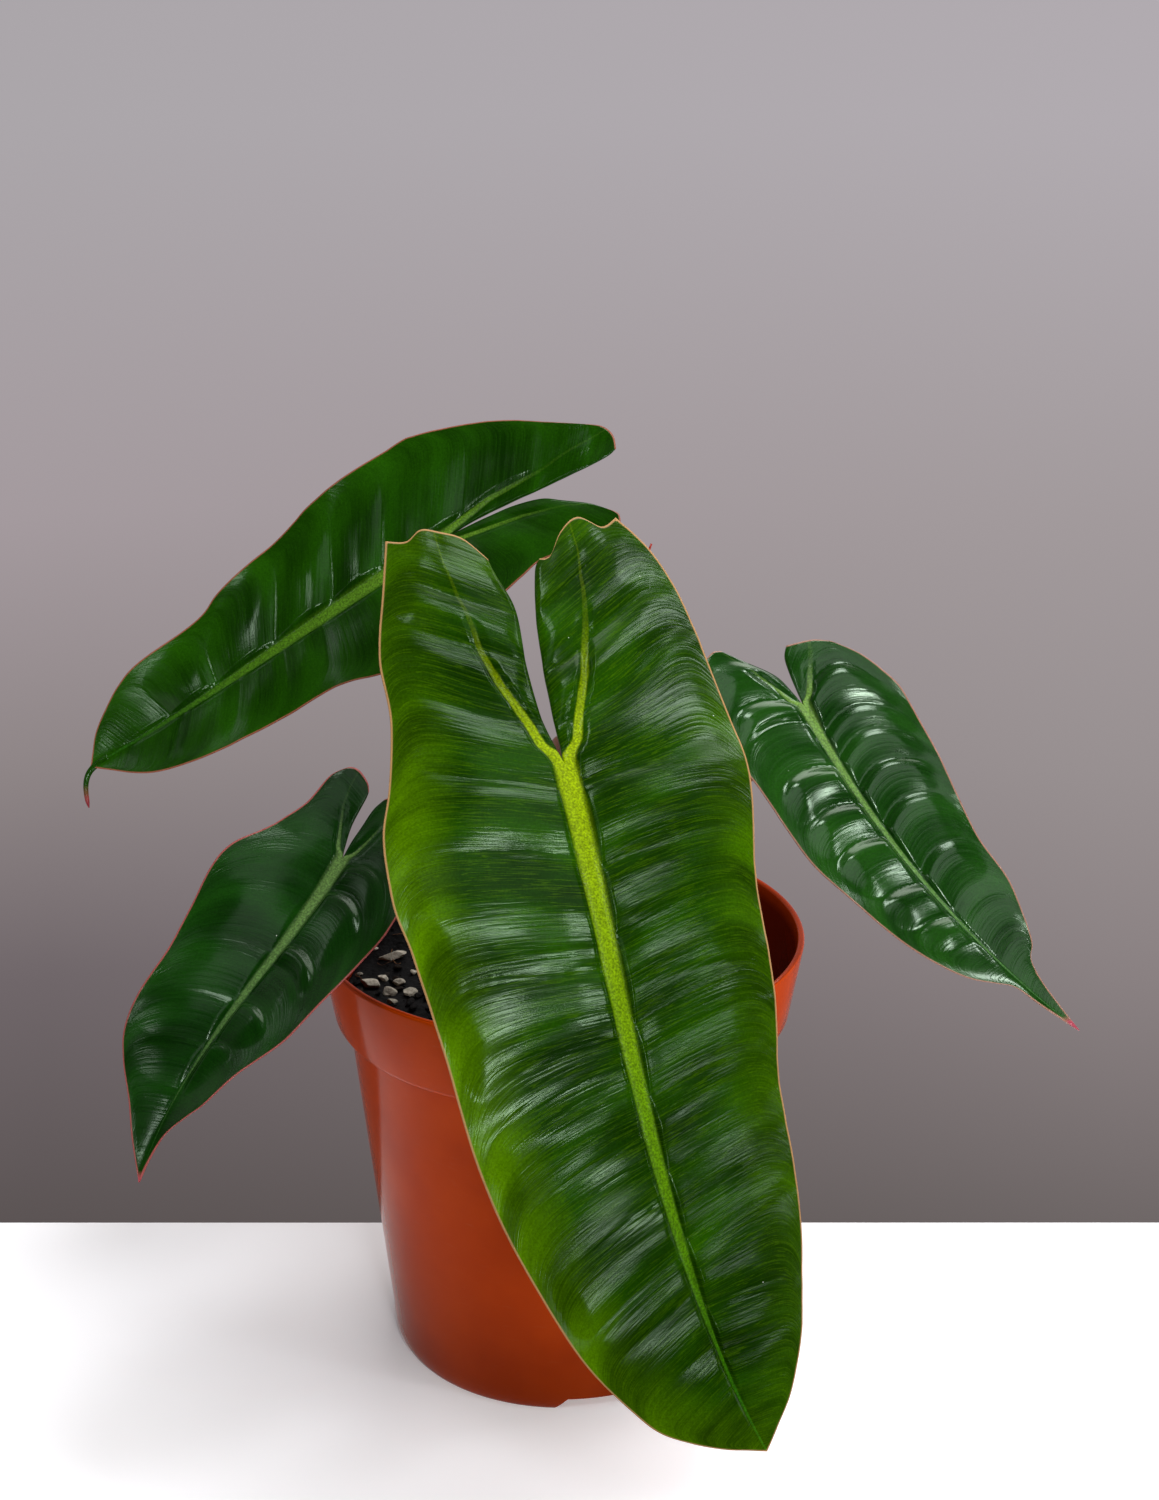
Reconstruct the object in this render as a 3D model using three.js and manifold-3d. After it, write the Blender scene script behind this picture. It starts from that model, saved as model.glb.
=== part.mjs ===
// A young Philodendron billietiae in a plastic nursery pot: four heart-lobed strap leaves on long petioles,
// and one rolled new leaf in its sheath, on a short stem that stands in potting mix.
// Millimetres, +Z up. The origin is the centre of the pot's base, on the surface that it stands on.
// +X is right and -Y is the side that the largest leaf hangs over.
import * as THREE from "three";
import { mergeVertices } from "three/addons/utils/BufferGeometryUtils.js";
import Module from "manifold-3d";

// The gap that neighbouring pieces keep.
const GAP = 0.3;

// Pot: a tapered bucket with a deeper rim band. Radii are outside radii.
const POT = {
  height: 111,
  lip: 60,
  bandFoot: 56.7,
  bandHeight: 20.4,
  shoulder: 53.2,
  heel: 44,
  heelHeight: 7.8,
  foot: 41.9,
  wall: 1.7,
  bandRound: 0.7,
  bandStep: 3.2,
  sides: 40,
};
// Base: a centre pad and an outer foot ring stand on the table, and the ring between them is raised.
const BASE = { pad: 14, padSlope: 1.6, raised: 3.3, footWidth: 3.6 };
const NOTCH = { count: 3, width: 20, slope: 2.7, height: 3.5, depth: 9, first: -79 };
const DRAIN = { count: 8, radius: 3.2, circle: 28, sides: 10 };

// Potting mix: how high it stands, and the lumps of perlite and bark in its top.
const MIX = { level: 92.3, mound: 1.2, relief: 0.8, rings: 7, sides: 32 };
const LUMPS = {
  count: 24,
  smallest: 1.3,
  largest: 2.9,
  flattening: 0.7,
  clearOfStem: 11,
  clearOfWall: 4,
  seed: 41,
};
// Perlite in plain sight at the left: x, y, radius.
const SEEN_PERLITE = [
  [-43.5, 19, 3.1],
  [-48.4, 5.4, 2.5],
  [-45, 8.6, 1.9],
  [-43.1, 1.4, 1.7],
  [-41.2, 6, 1.5],
  [-38.6, 0.5, 2.2],
  [-42, -4.9, 1.7],
];

// Stem: a short stub that stands in a plain hole in the mix.
const STEM = { radius: 5, foot: 66, top: 104, sides: 14 };

// Blades: thickness of the lamina, and how far a rib stands out below and above it, as shares of its
// half-width. ribReach is where the ridge ends, and lobeRib how deep a lobe's rib is against the midrib.
const BLADE = { thickness: 0.7, ribBelow: 0.75, ribAbove: 0.12, ribReach: 1.3, lobeRib: 0.55, ribEnd: 0.25 };
// Side veins: how much closer they stand towards the tip, and how far they lean towards it, in blade lengths.
const VEINS = { crowding: 1.2, lean: 0.32, lobeRelief: 0.6 };
// Petioles: the foot flares by this share over this share of the length, and the shaft narrows by taper.
const PETIOLE = { sides: 10, steps: 14, flare: 0.3, flareReach: 0.06, taper: 0.06, seat: 0.35 };

// Each leaf, with lengths in mm and angles in degrees.
// midrib: the four control points of a cubic curve from the sinus, where the petiole joins, to the tip.
// facing, tipFacing: azimuth (0 is -Y, 90 is +X) and elevation of the upper face at the sinus and at the tip.
// fold: slope of each half beside the midrib, and curl: how fast it bends down towards the margin.
// rib: half-width of the midrib at the sinus. veins: main side veins of a half, with pillows between them.
// left, right: outlines of the halves as [along the midrib, out from it]. margin runs from the lobe's outer
// corner to just before the tip, inner from the sinus up to the lobe's inner corner, and top between the
// two corners. rib: where the lobe's own rib ends, as a share of the way from inner to margin.
// petiole: its path from the stem to the sinus, and its radius.
const LEAVES = [
  {
    name: "front",
    midrib: [[1.5, -102, 193], [12, -131, 164], [18.5, -151, 111], [43, -137.5, 55.5]],
    facing: [18, 40],
    tipFacing: [23, 0],
    fold: 0.1,
    curl: 0.004,
    rib: 2.9,
    veins: 12,
    pillow: 1.1,
    wave: 1,
    columns: 6,
    lobeRows: 10,
    left: {
      inner: [[0, 0], [-11, 2.1], [-24, 2.2], [-36, 1.3], [-46, 3.6], [-49, 4.1]],
      top: [[-49, 4.1], [-54.8, 8], [-57.2, 12], [-58.8, 16], [-56.8, 19.5], [-58, 23.5]],
      margin: [
        [-58, 23.5], [-47, 26.5], [-32, 30.5], [-18, 31.3], [-4, 34.5], [8, 38.3], [22, 39.2],
        [33, 37.2], [49, 35.4], [68, 34.6], [82, 32.7], [97, 29.7], [114, 25.9], [128, 20.9],
        [136, 17.5], [142, 12.7], [147.5, 7.3], [151, 3.2],
      ],
      rib: 0.48,
    },
    right: {
      inner: [[0, 0], [-12, 0.4], [-23, 1.2], [-34, 2.6], [-45, 5.2], [-48, 7]],
      top: [[-48, 7], [-48.5, 9.5], [-54.5, 13.5], [-57.8, 18.2], [-55.2, 23], [-57.4, 27]],
      margin: [
        [-57.4, 27], [-50.3, 32.3], [-42, 35.7], [-30.6, 37.8], [-12.8, 39.4], [0, 40.5], [10, 39.7],
        [31, 36.4], [59, 34], [75, 31.5], [95, 29], [113, 26], [128, 20.7], [136, 16.8],
        [145, 10.4], [150, 4.8],
      ],
      rib: 0.42,
    },
    petiole: { path: [[0, -7.4, 95.6], [-1, -24, 150], [0, -72, 202.5], [2.4, -104.4, 189.6]], radius: 2.7 },
  },
  {
    name: "right",
    midrib: [[59, 6, 167], [72.5, -11, 145], [94.5, -28.5, 120.5], [121, -43, 104.5]],
    facing: [4, 50],
    tipFacing: [4, 50],
    fold: -0.26,
    curl: 0.008,
    rib: 1.5,
    veins: 11,
    pillow: 0.9,
    wave: 0.6,
    columns: 5,
    lobeRows: 5,
    left: {
      inner: [[0, 0], [-4, 0.9], [-10, 3], [-16, 8.7], [-20.5, 13]],
      top: [[-20.5, 13], [-21, 15], [-20, 17.5]],
      margin: [
        [-20, 17.5], [-15, 21], [-6, 23.3], [4, 23.3], [13, 22], [25, 21.3], [35, 20.9], [45, 19],
        [56, 16.5], [67, 13], [75, 9.5], [80, 5.4], [84, 2.2], [90, 1.3],
      ],
      rib: 0.42,
    },
    right: {
      inner: [[0, 0], [-5, 0.3], [-10, 0.8], [-13.7, 1.6], [-16, 3.2]],
      top: [[-16, 3.2], [-15.4, 6], [-14.3, 9.8], [-12, 13.3]],
      margin: [
        [-12, 13.3], [-5.6, 18.4], [3, 22], [10, 23], [24, 22.5], [38, 19.7], [51, 17.4], [63, 16],
        [73, 12.3], [79.5, 9], [82, 6], [87, 3.9], [94, 2],
      ],
      rib: 0.55,
    },
    petiole: { path: [[6.6, 0.4, 95.6], [16.6, 3, 122], [38, 5, 143], [60.4, 6.4, 163.6]], radius: 1.9 },
  },
  {
    name: "left",
    midrib: [[-51.5, -25.5, 140], [-65, -45.5, 122], [-85, -63.5, 110.5], [-93.5, -81, 86]],
    facing: [-8, 42],
    tipFacing: [-28, 45],
    fold: -0.42,
    curl: 0.01,
    rib: 1.5,
    veins: 10,
    pillow: 0.9,
    wave: 0.7,
    columns: 5,
    lobeRows: 5,
    left: {
      inner: [[0, 0], [-4, 1.1], [-9.3, 2.2], [-16.8, 2.6], [-18.6, 2.8]],
      top: [[-18.6, 2.8], [-20.4, 4], [-22, 7], [-21.6, 9.2], [-19.6, 11]],
      margin: [
        [-19.6, 11], [-16.5, 12.4], [-8.5, 13.6], [-2.4, 16.2], [3, 18.8], [11.5, 22.8], [20, 23.5],
        [31, 21.8], [42, 19.6], [53, 19.4], [60, 18], [65.5, 14.7], [73, 8.8], [80, 4.8],
      ],
      rib: 0.45,
    },
    right: {
      inner: [[0, 0], [-5, -0.2], [-9.5, 0], [-15, 0.3], [-18.5, 1.5]],
      top: [[-18.5, 1.5], [-21, 4.8], [-20.5, 9], [-17.5, 13]],
      margin: [
        [-17.5, 13], [-10, 17.5], [0, 20.5], [12.5, 21.4], [21, 20.6], [31, 20], [42, 18.7],
        [48, 17.2], [57.5, 12.8], [67, 9.5], [71.5, 6.2], [76, 2.6], [80, 1.2],
      ],
      rib: 0.48,
    },
    petiole: { path: [[-6.2, -2.3, 95.6], [-15, -7, 116], [-33, -18, 127], [-52.2, -26, 137]], radius: 1.9 },
  },
  {
    name: "back",
    midrib: [[-29.5, 29.5, 202.5], [-60, 23, 184.5], [-88, 15.5, 164.5], [-116, 10, 150]],
    drip: [[-118.4, 9, 148.6], [-116.4, 6.8, 140.4]],
    facing: [-11, 43],
    tipFacing: [-11, 43],
    fold: -0.3,
    curl: 0.008,
    rib: 1.8,
    veins: 11,
    pillow: 0.6,
    wave: 0.8,
    columns: 5,
    lobeRows: 8,
    left: {
      inner: [[0, 0], [-9, -0.3], [-15, -1], [-22, -2], [-33, -3.9], [-44, -5.3], [-48, -4.8]],
      top: [[-48, -4.8], [-49.3, -0.8], [-48.2, 2.8], [-43.7, 6.6]],
      margin: [
        [-43.7, 6.6], [-36.3, 12], [-30, 16.6], [-23, 20.6], [-15.4, 24], [-8, 26.7], [-2, 27.6],
        [21, 26.3], [28, 25], [36, 23], [53, 20.2], [61, 17.8], [79, 16.4], [87, 14.2], [93.4, 10.5],
        [98, 6.9], [101, 3],
      ],
      rib: 0.35,
    },
    right: {
      inner: [[0, 0], [-9, 1.1], [-15, 2.1], [-20, 3.3], [-26, 6], [-30, 9.9], [-35, 15], [-38, 19.4]],
      top: [[-38, 19.4], [-39.5, 22.5], [-38, 26]],
      margin: [
        [-38, 26], [-34, 27], [-26, 24.5], [-18, 21.9], [-11.7, 23], [-4, 24.5], [8, 26.3], [20, 26],
        [30, 24.5], [38, 21.3], [46, 19.4], [65, 17.8], [74, 16.5], [82.5, 14], [89, 11.5], [94, 8.2],
        [98.5, 4.1],
      ],
      rib: 0.45,
    },
    petiole: { path: [[-4.3, 5.4, 95.6], [-10, 14, 135], [-19, 26, 172], [-30.2, 30.2, 199]], radius: 2.3 },
  },
];

// New leaf: a rolled blade with a needle tip, and the sheath that wraps its foot.
const NEW_LEAF = { path: [[0, 0, 104.3], [1, 3, 140], [10, 5, 175], [21.3, 2, 209.2]], radius: 3.1 };
const SHEATH = { height: 52, inner: 3.7, thickness: 0.8, open: 110, facing: 35 };

const COLOURS = {
  terracotta: [0x93401f, 0.45],
  mix: [0x241d19, 0.95],
  blade: [0x2f5212, 0.3],
  petiole: [0x9a4a22, 0.55],
  stem: [0x6b5a35, 0.8],
  bud: [0xa02b1e, 0.5],
};

const wasm = await Module();
wasm.setup();

const radians = THREE.MathUtils.degToRad;
const vector = (point) => new THREE.Vector3(...point);

// A unit vector from an azimuth and an elevation in degrees.
function direction([azimuth, elevation]) {
  const a = radians(azimuth);
  const e = radians(elevation);
  return new THREE.Vector3(Math.sin(a) * Math.cos(e), -Math.cos(a) * Math.cos(e), Math.sin(e));
}

// Random numbers from 0 to 1 that come out the same each time.
function seeded(seed) {
  let state = seed;
  return () => {
    state = (state * 1664525 + 1013904223) % 4294967296;
    return state / 4294967296;
  };
}

// A geometry with nothing but positions, shared between its faces.
function welded(geometry) {
  const plain = new THREE.BufferGeometry();
  plain.setAttribute("position", geometry.getAttribute("position"));
  plain.setIndex(geometry.index);
  return mergeVertices(plain, 1e-4);
}

function solidOf(geometry) {
  const shared = welded(geometry);
  return new wasm.Manifold(
    new wasm.Mesh({
      numProp: 3,
      vertProperties: new Float32Array(shared.getAttribute("position").array),
      triVerts: new Uint32Array(shared.index.array),
    }),
  );
}

function geometryOf(solid) {
  const mesh = solid.getMesh();
  const geometry = new THREE.BufferGeometry();
  geometry.setAttribute("position", new THREE.BufferAttribute(new Float32Array(mesh.vertProperties), 3));
  geometry.setIndex(new THREE.BufferAttribute(new Uint32Array(mesh.triVerts), 1));
  return geometry;
}

// A closed surface from a list of triangles, without those that have no area.
function surfaceOf(triangles) {
  const kept = triangles.filter(
    ([a, b, c]) => a.distanceTo(b) > 1e-3 && b.distanceTo(c) > 1e-3 && c.distanceTo(a) > 1e-3,
  );
  const geometry = new THREE.BufferGeometry().setFromPoints(kept.flat());
  return welded(geometry);
}

// The two triangles of a quad, whose corners run anticlockwise seen from outside.
const quad = (a, b, c, d) => [[a, b, c], [a, c, d]];

function part(name, geometry, [color, roughness]) {
  geometry.computeVertexNormals();
  const mesh = new THREE.Mesh(geometry, new THREE.MeshStandardMaterial({ color, roughness }));
  mesh.name = name;
  return mesh;
}

// A closed body lofted along a curve. outlineAt(t) gives the section's points as [sideways, up] pairs.
function loft(curve, steps, outlineAt) {
  const frames = curve.computeFrenetFrames(steps, false);
  const rings = [];
  for (let i = 0; i <= steps; i++) {
    const centre = curve.getPointAt(i / steps);
    rings.push(
      outlineAt(i / steps).map(([x, y]) =>
        centre.clone().addScaledVector(frames.normals[i], x).addScaledVector(frames.binormals[i], y),
      ),
    );
  }
  const triangles = [];
  const sides = rings[0].length;
  for (let i = 0; i < steps; i++)
    for (let k = 0; k < sides; k++) {
      const next = (k + 1) % sides;
      triangles.push(...quad(rings[i][k], rings[i][next], rings[i + 1][next], rings[i + 1][k]));
    }
  const flat = outlineAt(0).map(([x, y]) => new THREE.Vector2(x, y));
  for (const [a, b, c] of THREE.ShapeUtils.triangulateShape(flat, [])) {
    triangles.push([rings[0][c], rings[0][b], rings[0][a]]);
    triangles.push([rings[steps][a], rings[steps][b], rings[steps][c]]);
  }
  return surfaceOf(triangles);
}

// A round section of the given radius.
function circle(radius, sides) {
  return Array.from({ length: sides }, (_, k) => {
    const angle = (2 * Math.PI * k) / sides;
    return [radius * Math.cos(angle), radius * Math.sin(angle)];
  });
}

// The pot's outside radius at a height, on the body and on the rim band.
const bodyRadius = (z) =>
  THREE.MathUtils.mapLinear(z, POT.heelHeight, POT.height - POT.bandHeight, POT.heel, POT.shoulder);
const bandRadius = (z) =>
  THREE.MathUtils.mapLinear(z, POT.height - POT.bandHeight, POT.height, POT.bandFoot, POT.lip);

// The inside of the pot from the centre of its floor up to the lip, moved in by a clearance.
function insideProfile(clearance) {
  const bandFoot = POT.height - POT.bandHeight;
  const floor = BASE.raised + POT.wall + clearance;
  const inset = POT.wall + clearance;
  return [
    [0, POT.wall + clearance],
    [BASE.pad - 1, POT.wall + clearance],
    [BASE.pad + BASE.padSlope - 1, floor],
    [bodyRadius(POT.heelHeight) - inset - 1.5, floor],
    [bodyRadius(POT.heelHeight) - inset, POT.heelHeight + 1],
    [bodyRadius(bandFoot) - inset, bandFoot + 1.2 - POT.bandStep],
    [bandRadius(bandFoot) - inset, bandFoot + 1.2],
  ];
}

// Points on a quarter ellipse, from its foot outwards and up.
function heelRound([footRadius, heelRadius, height], steps) {
  return Array.from({ length: steps + 1 }, (_, i) => {
    const angle = (Math.PI / 2) * (i / steps);
    return [footRadius + (heelRadius - footRadius) * Math.sin(angle), height * (1 - Math.cos(angle))];
  });
}

// Points over the lip, from its outside to its inside.
function lipRound(steps) {
  const half = POT.wall / 2;
  return Array.from({ length: steps + 1 }, (_, i) => {
    const angle = Math.PI * (i / steps);
    return [POT.lip - half + half * Math.cos(angle), POT.height - half + half * Math.sin(angle)];
  });
}

function lathe(profile, sides) {
  const points = profile.map(([r, z]) => new THREE.Vector2(r, z));
  return new THREE.LatheGeometry(points, sides).rotateX(Math.PI / 2);
}

function potGeometry() {
  const bandFoot = POT.height - POT.bandHeight;
  const outside = [
    [0, 0],
    [BASE.pad, 0],
    [BASE.pad + BASE.padSlope, BASE.raised],
    [POT.foot - BASE.footWidth - 0.6, BASE.raised],
    [POT.foot - BASE.footWidth, 0],
    ...heelRound([POT.foot, POT.heel, POT.heelHeight], 3),
    [POT.shoulder, bandFoot - 0.9],
    [POT.bandFoot - POT.bandRound, bandFoot],
    [POT.bandFoot, bandFoot + POT.bandRound],
  ];
  const profile = [...outside, ...lipRound(4), ...insideProfile(0).reverse()];
  let pot = solidOf(lathe(profile, POT.sides));
  const halfWidth = NOTCH.width / 2;
  const notchOutline = new THREE.Shape([
    new THREE.Vector2(-halfWidth, -1),
    new THREE.Vector2(halfWidth, -1),
    new THREE.Vector2(halfWidth, 0),
    new THREE.Vector2(halfWidth - NOTCH.slope, NOTCH.height),
    new THREE.Vector2(NOTCH.slope - halfWidth, NOTCH.height),
    new THREE.Vector2(-halfWidth, 0),
  ]);
  for (let i = 0; i < NOTCH.count; i++) {
    const notch = new THREE.ExtrudeGeometry(notchOutline, { depth: NOTCH.depth, bevelEnabled: false })
      .rotateX(Math.PI / 2)
      .rotateZ(Math.PI / 2)
      .translate(POT.foot - BASE.footWidth - 2, 0, 0)
      .rotateZ(radians(NOTCH.first + (360 * i) / NOTCH.count));
    pot = pot.subtract(solidOf(notch));
  }
  for (let i = 0; i < DRAIN.count; i++) {
    const hole = new THREE.CylinderGeometry(DRAIN.radius, DRAIN.radius, 20, DRAIN.sides)
      .rotateX(Math.PI / 2)
      .translate(DRAIN.circle, 0, 0)
      .rotateZ(radians(NOTCH.first + (360 * (i + 0.5)) / DRAIN.count));
    pot = pot.subtract(solidOf(hole));
  }
  return geometryOf(pot);
}

// Height of the mix at a place: a low mound, with crumbs that fade out at the wall.
function mixHeight(x, y, wall) {
  const out = Math.hypot(x, y) / wall;
  const crumbs = Math.sin(x / 2.9 + 1.3 * Math.sin(y / 4.1)) * Math.cos(y / 3.3 + 0.8 * Math.sin(x / 5.3));
  return MIX.level + MIX.mound * (1 - out * out) + MIX.relief * crumbs * (1 - out ** 4);
}

// The plug of mix: the pot's inside moved in by the gap, with an uneven top.
function plugGeometry() {
  const wall = bandRadius(MIX.level) - POT.wall - GAP;
  const below = insideProfile(GAP).filter(([, z]) => z < MIX.level - 1);
  const rings = below.map(([r, z]) => ringOf(r, () => z));
  for (let i = MIX.rings; i >= 0; i--) {
    const r = (wall * i) / MIX.rings;
    rings.push(ringOf(r, (x, y) => mixHeight(x, y, wall)));
  }
  const triangles = [];
  for (let i = 0; i + 1 < rings.length; i++)
    for (let k = 0; k < MIX.sides; k++) {
      const next = (k + 1) % MIX.sides;
      triangles.push(...quad(rings[i][k], rings[i][next], rings[i + 1][next], rings[i + 1][k]));
    }
  return surfaceOf(triangles);
}

function ringOf(radius, heightAt) {
  return Array.from({ length: MIX.sides }, (_, k) => {
    const angle = (2 * Math.PI * k) / MIX.sides;
    const x = radius * Math.cos(angle);
    const y = radius * Math.sin(angle);
    return new THREE.Vector3(x, y, heightAt(x, y));
  });
}

// The mix, its lumps sunk half in, and the hole for the stem.
function mixGeometry() {
  const random = seeded(LUMPS.seed);
  const wall = bandRadius(MIX.level) - POT.wall - GAP;
  const places = [...SEEN_PERLITE];
  for (let i = 0; i < LUMPS.count; i++) {
    const radius = LUMPS.smallest + (LUMPS.largest - LUMPS.smallest) * random() ** 2;
    const share = Math.sqrt(random());
    const out = THREE.MathUtils.lerp(LUMPS.clearOfStem, wall - LUMPS.clearOfWall, share);
    const angle = 2 * Math.PI * random();
    places.push([out * Math.cos(angle), out * Math.sin(angle), radius]);
  }
  let mix = solidOf(plugGeometry());
  for (const [x, y, radius] of places) {
    const lump = new THREE.IcosahedronGeometry(radius, 0)
      .scale(1, 0.75 + 0.25 * random(), LUMPS.flattening)
      .rotateZ(Math.PI * random())
      .translate(x, y, mixHeight(x, y, wall));
    mix = mix.add(solidOf(lump));
  }
  return geometryOf(mix.subtract(stemSpace()));
}

// The space that the stem needs, carried on above it.
function stemSpace() {
  const height = 2 * (STEM.top - STEM.foot);
  const space = new THREE.CylinderGeometry(STEM.radius + GAP, STEM.radius + GAP, height, STEM.sides)
    .rotateX(Math.PI / 2)
    .translate(0, 0, STEM.foot - GAP + height / 2);
  return solidOf(space);
}

// The stem, ringed where older leaves have dropped.
function stemGeometry() {
  const nodes = [80, 90, 98];
  const profile = [[0, STEM.foot], [STEM.radius - 1.4, STEM.foot + 0.6]];
  for (const z of nodes)
    profile.push([STEM.radius - 0.5, z - 2.4], [STEM.radius - 0.1, z - 0.8], [STEM.radius - 0.6, z]);
  profile.push([STEM.radius - 0.5, STEM.top - 1], [STEM.radius - 0.9, STEM.top], [0, STEM.top]);
  return lathe(profile, STEM.sides);
}

// Everything about one leaf that its surface needs.
function leafShape(leaf) {
  const midrib = new THREE.CubicBezierCurve3(...leaf.midrib.map(vector));
  const shape = { ...leaf, midrib, length: midrib.getLength() };
  shape.base = direction(leaf.facing);
  shape.turn = direction(leaf.tipFacing).sub(shape.base);
  for (const side of ["left", "right"]) {
    const spline = (points) => new THREE.SplineCurve(points.map(([s, w]) => new THREE.Vector2(s, w)));
    const { inner, top, margin, rib } = leaf[side];
    shape[side] = {
      sign: side === "left" ? -1 : 1,
      inner: spline(inner),
      top: spline(top),
      edge: spline([...margin, [shape.length, 0]]).getPoints(20 * margin.length),
      corner: margin[0][0],
      rib,
    };
  }
  return shape;
}

// Half-width of a half at a distance along the midrib.
function marginAt(half, along) {
  const next = Math.max(1, half.edge.findIndex((point) => point.x >= along));
  const [a, b] = [half.edge[next - 1], half.edge[next]];
  return THREE.MathUtils.mapLinear(Math.min(along, b.x), a.x, b.x, a.y, b.y);
}

// Half-width of the midrib, from 0 at the sinus to 1 at the tip.
const ribWidth = (shape, share) => shape.rib * (1 - share) ** 0.8 + BLADE.ribEnd;

// The midrib's place and directions at a distance along it, which is negative in the lobes.
function frameAt(shape, along) {
  const share = THREE.MathUtils.clamp(along / shape.length, 0, 1);
  const origin = shape.midrib.getPointAt(share);
  const forward = shape.midrib.getTangentAt(share);
  const facing = shape.base.clone().addScaledVector(shape.turn, share);
  const sideways = new THREE.Vector3().crossVectors(facing, forward).normalize();
  const up = new THREE.Vector3().crossVectors(forward, sideways);
  origin.addScaledVector(forward, Math.min(along, 0));
  return { origin, sideways, up };
}

// A point of the blade: along the midrib, out from it, and the height above the folded sheet.
function bladePoint(shape, along, out, height) {
  const { origin, sideways, up } = frameAt(shape, along);
  const crease = Math.hypot(out, shape.rib) - shape.rib;
  const sag = shape.fold * crease + 0.5 * shape.curl * out * out;
  return origin.addScaledVector(sideways, out).addScaledVector(up, height - sag);
}

// How high the blade stands over its sheet: pillows between the veins, and waves along the margin.
function relief(shape, half, phase, across, fade) {
  const pillow = Math.sin(Math.PI * phase) ** 2 * Math.sin(Math.PI * across ** 0.7);
  const wave = Math.sin(0.55 * Math.PI * phase + half.sign) * across ** 3;
  return fade * (shape.pillow * pillow + shape.wave * wave);
}

// One row of a half, as pairs of points on the upper and lower face from the inner edge to the margin.
function rowOf(shape, half, placeAt, phase, fade) {
  const row = [];
  for (let j = 0; j <= shape.columns; j++) {
    const { along, out, ribDistance, ribHalf, across, depth } = placeAt(j);
    const ridge = Math.max(0, 1 - (ribDistance / (BLADE.ribReach * ribHalf)) ** 2) * depth * ribHalf;
    const lift = relief(shape, half, phase, across, fade);
    const upper = lift + BLADE.ribAbove * ridge;
    const lower = lift - BLADE.thickness - BLADE.ribBelow * ridge;
    const sideways = half.sign * out;
    row.push([bladePoint(shape, along, sideways, upper), bladePoint(shape, along, sideways, lower)]);
  }
  return row;
}

// Rows of the main blade. They run out from the midrib and lean towards the tip, as the side veins do.
function mainRows(shape, half) {
  const rows = [];
  const count = 2 * shape.veins;
  for (let i = 0; i <= count; i++) {
    const station = shape.length * (1 - (1 - i / count) ** VEINS.crowding);
    const share = station / shape.length;
    const lean = VEINS.lean * shape.length * share * (1 - share);
    const ribHalf = ribWidth(shape, share);
    const placeAt = (j) => {
      const ribShare = Math.min(0.4, ribHalf / Math.max(marginAt(half, station), 1e-3));
      const across = j === 0 ? 0 : ribShare + ((1 - ribShare) * (j - 1)) / (shape.columns - 1);
      const along = Math.min(shape.length, station + lean * across ** 2);
      const out = across * marginAt(half, along);
      return { along, out, ribDistance: out, ribHalf, across, depth: 1 };
    };
    rows.push(rowOf(shape, half, placeAt, i / 2, 1 - share ** 3));
  }
  return rows;
}

// Rows of a lobe, from its top down to the sinus. The second column follows the lobe's own rib.
function lobeRows(shape, half) {
  const rows = [];
  const startShare = ribWidth(shape, 0) / marginAt(half, 0);
  for (let i = 0; i < shape.lobeRows; i++) {
    const v = 1 - i / shape.lobeRows;
    const inner = half.inner.getPointAt(v);
    const outer = new THREE.Vector2(v * half.corner, marginAt(half, v * half.corner));
    const ribShare = startShare + (half.rib - startShare) * v;
    const ribHalf = (shape.rib * (1 - 0.8 * v)) / BLADE.ribReach;
    const placeAt = (j) => {
      const across = j === 0 ? 0 : ribShare + ((1 - ribShare) * (j - 1)) / (shape.columns - 1);
      const place = inner.clone().lerp(outer, across);
      const straight = half.top.getPoint(0).lerp(half.top.getPoint(1), across);
      place.addScaledVector(half.top.getPointAt(across).sub(straight), v * v);
      const ribDistance = Math.abs(across - ribShare) * inner.distanceTo(outer);
      const depth = BLADE.lobeRib;
      return { along: place.x, out: place.y, ribDistance, ribHalf, across, depth };
    };
    const phase = -v * Math.round(shape.lobeRows / 2);
    rows.push(rowOf(shape, half, placeAt, phase, VEINS.lobeRelief));
  }
  return rows;
}

// The hooked end of a tip, as sections along a short curve from the blade's end.
function dripGeometry(shape) {
  const end = bladePoint(shape, shape.length, 0, -BLADE.thickness / 2);
  const back = bladePoint(shape, shape.length - 4, 0, -BLADE.thickness / 2);
  const curve = new THREE.CubicBezierCurve3(back, end, ...shape.drip.map(vector));
  return loft(curve, 8, (t) => circle(0.85 - 0.45 * t, 6));
}

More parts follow.
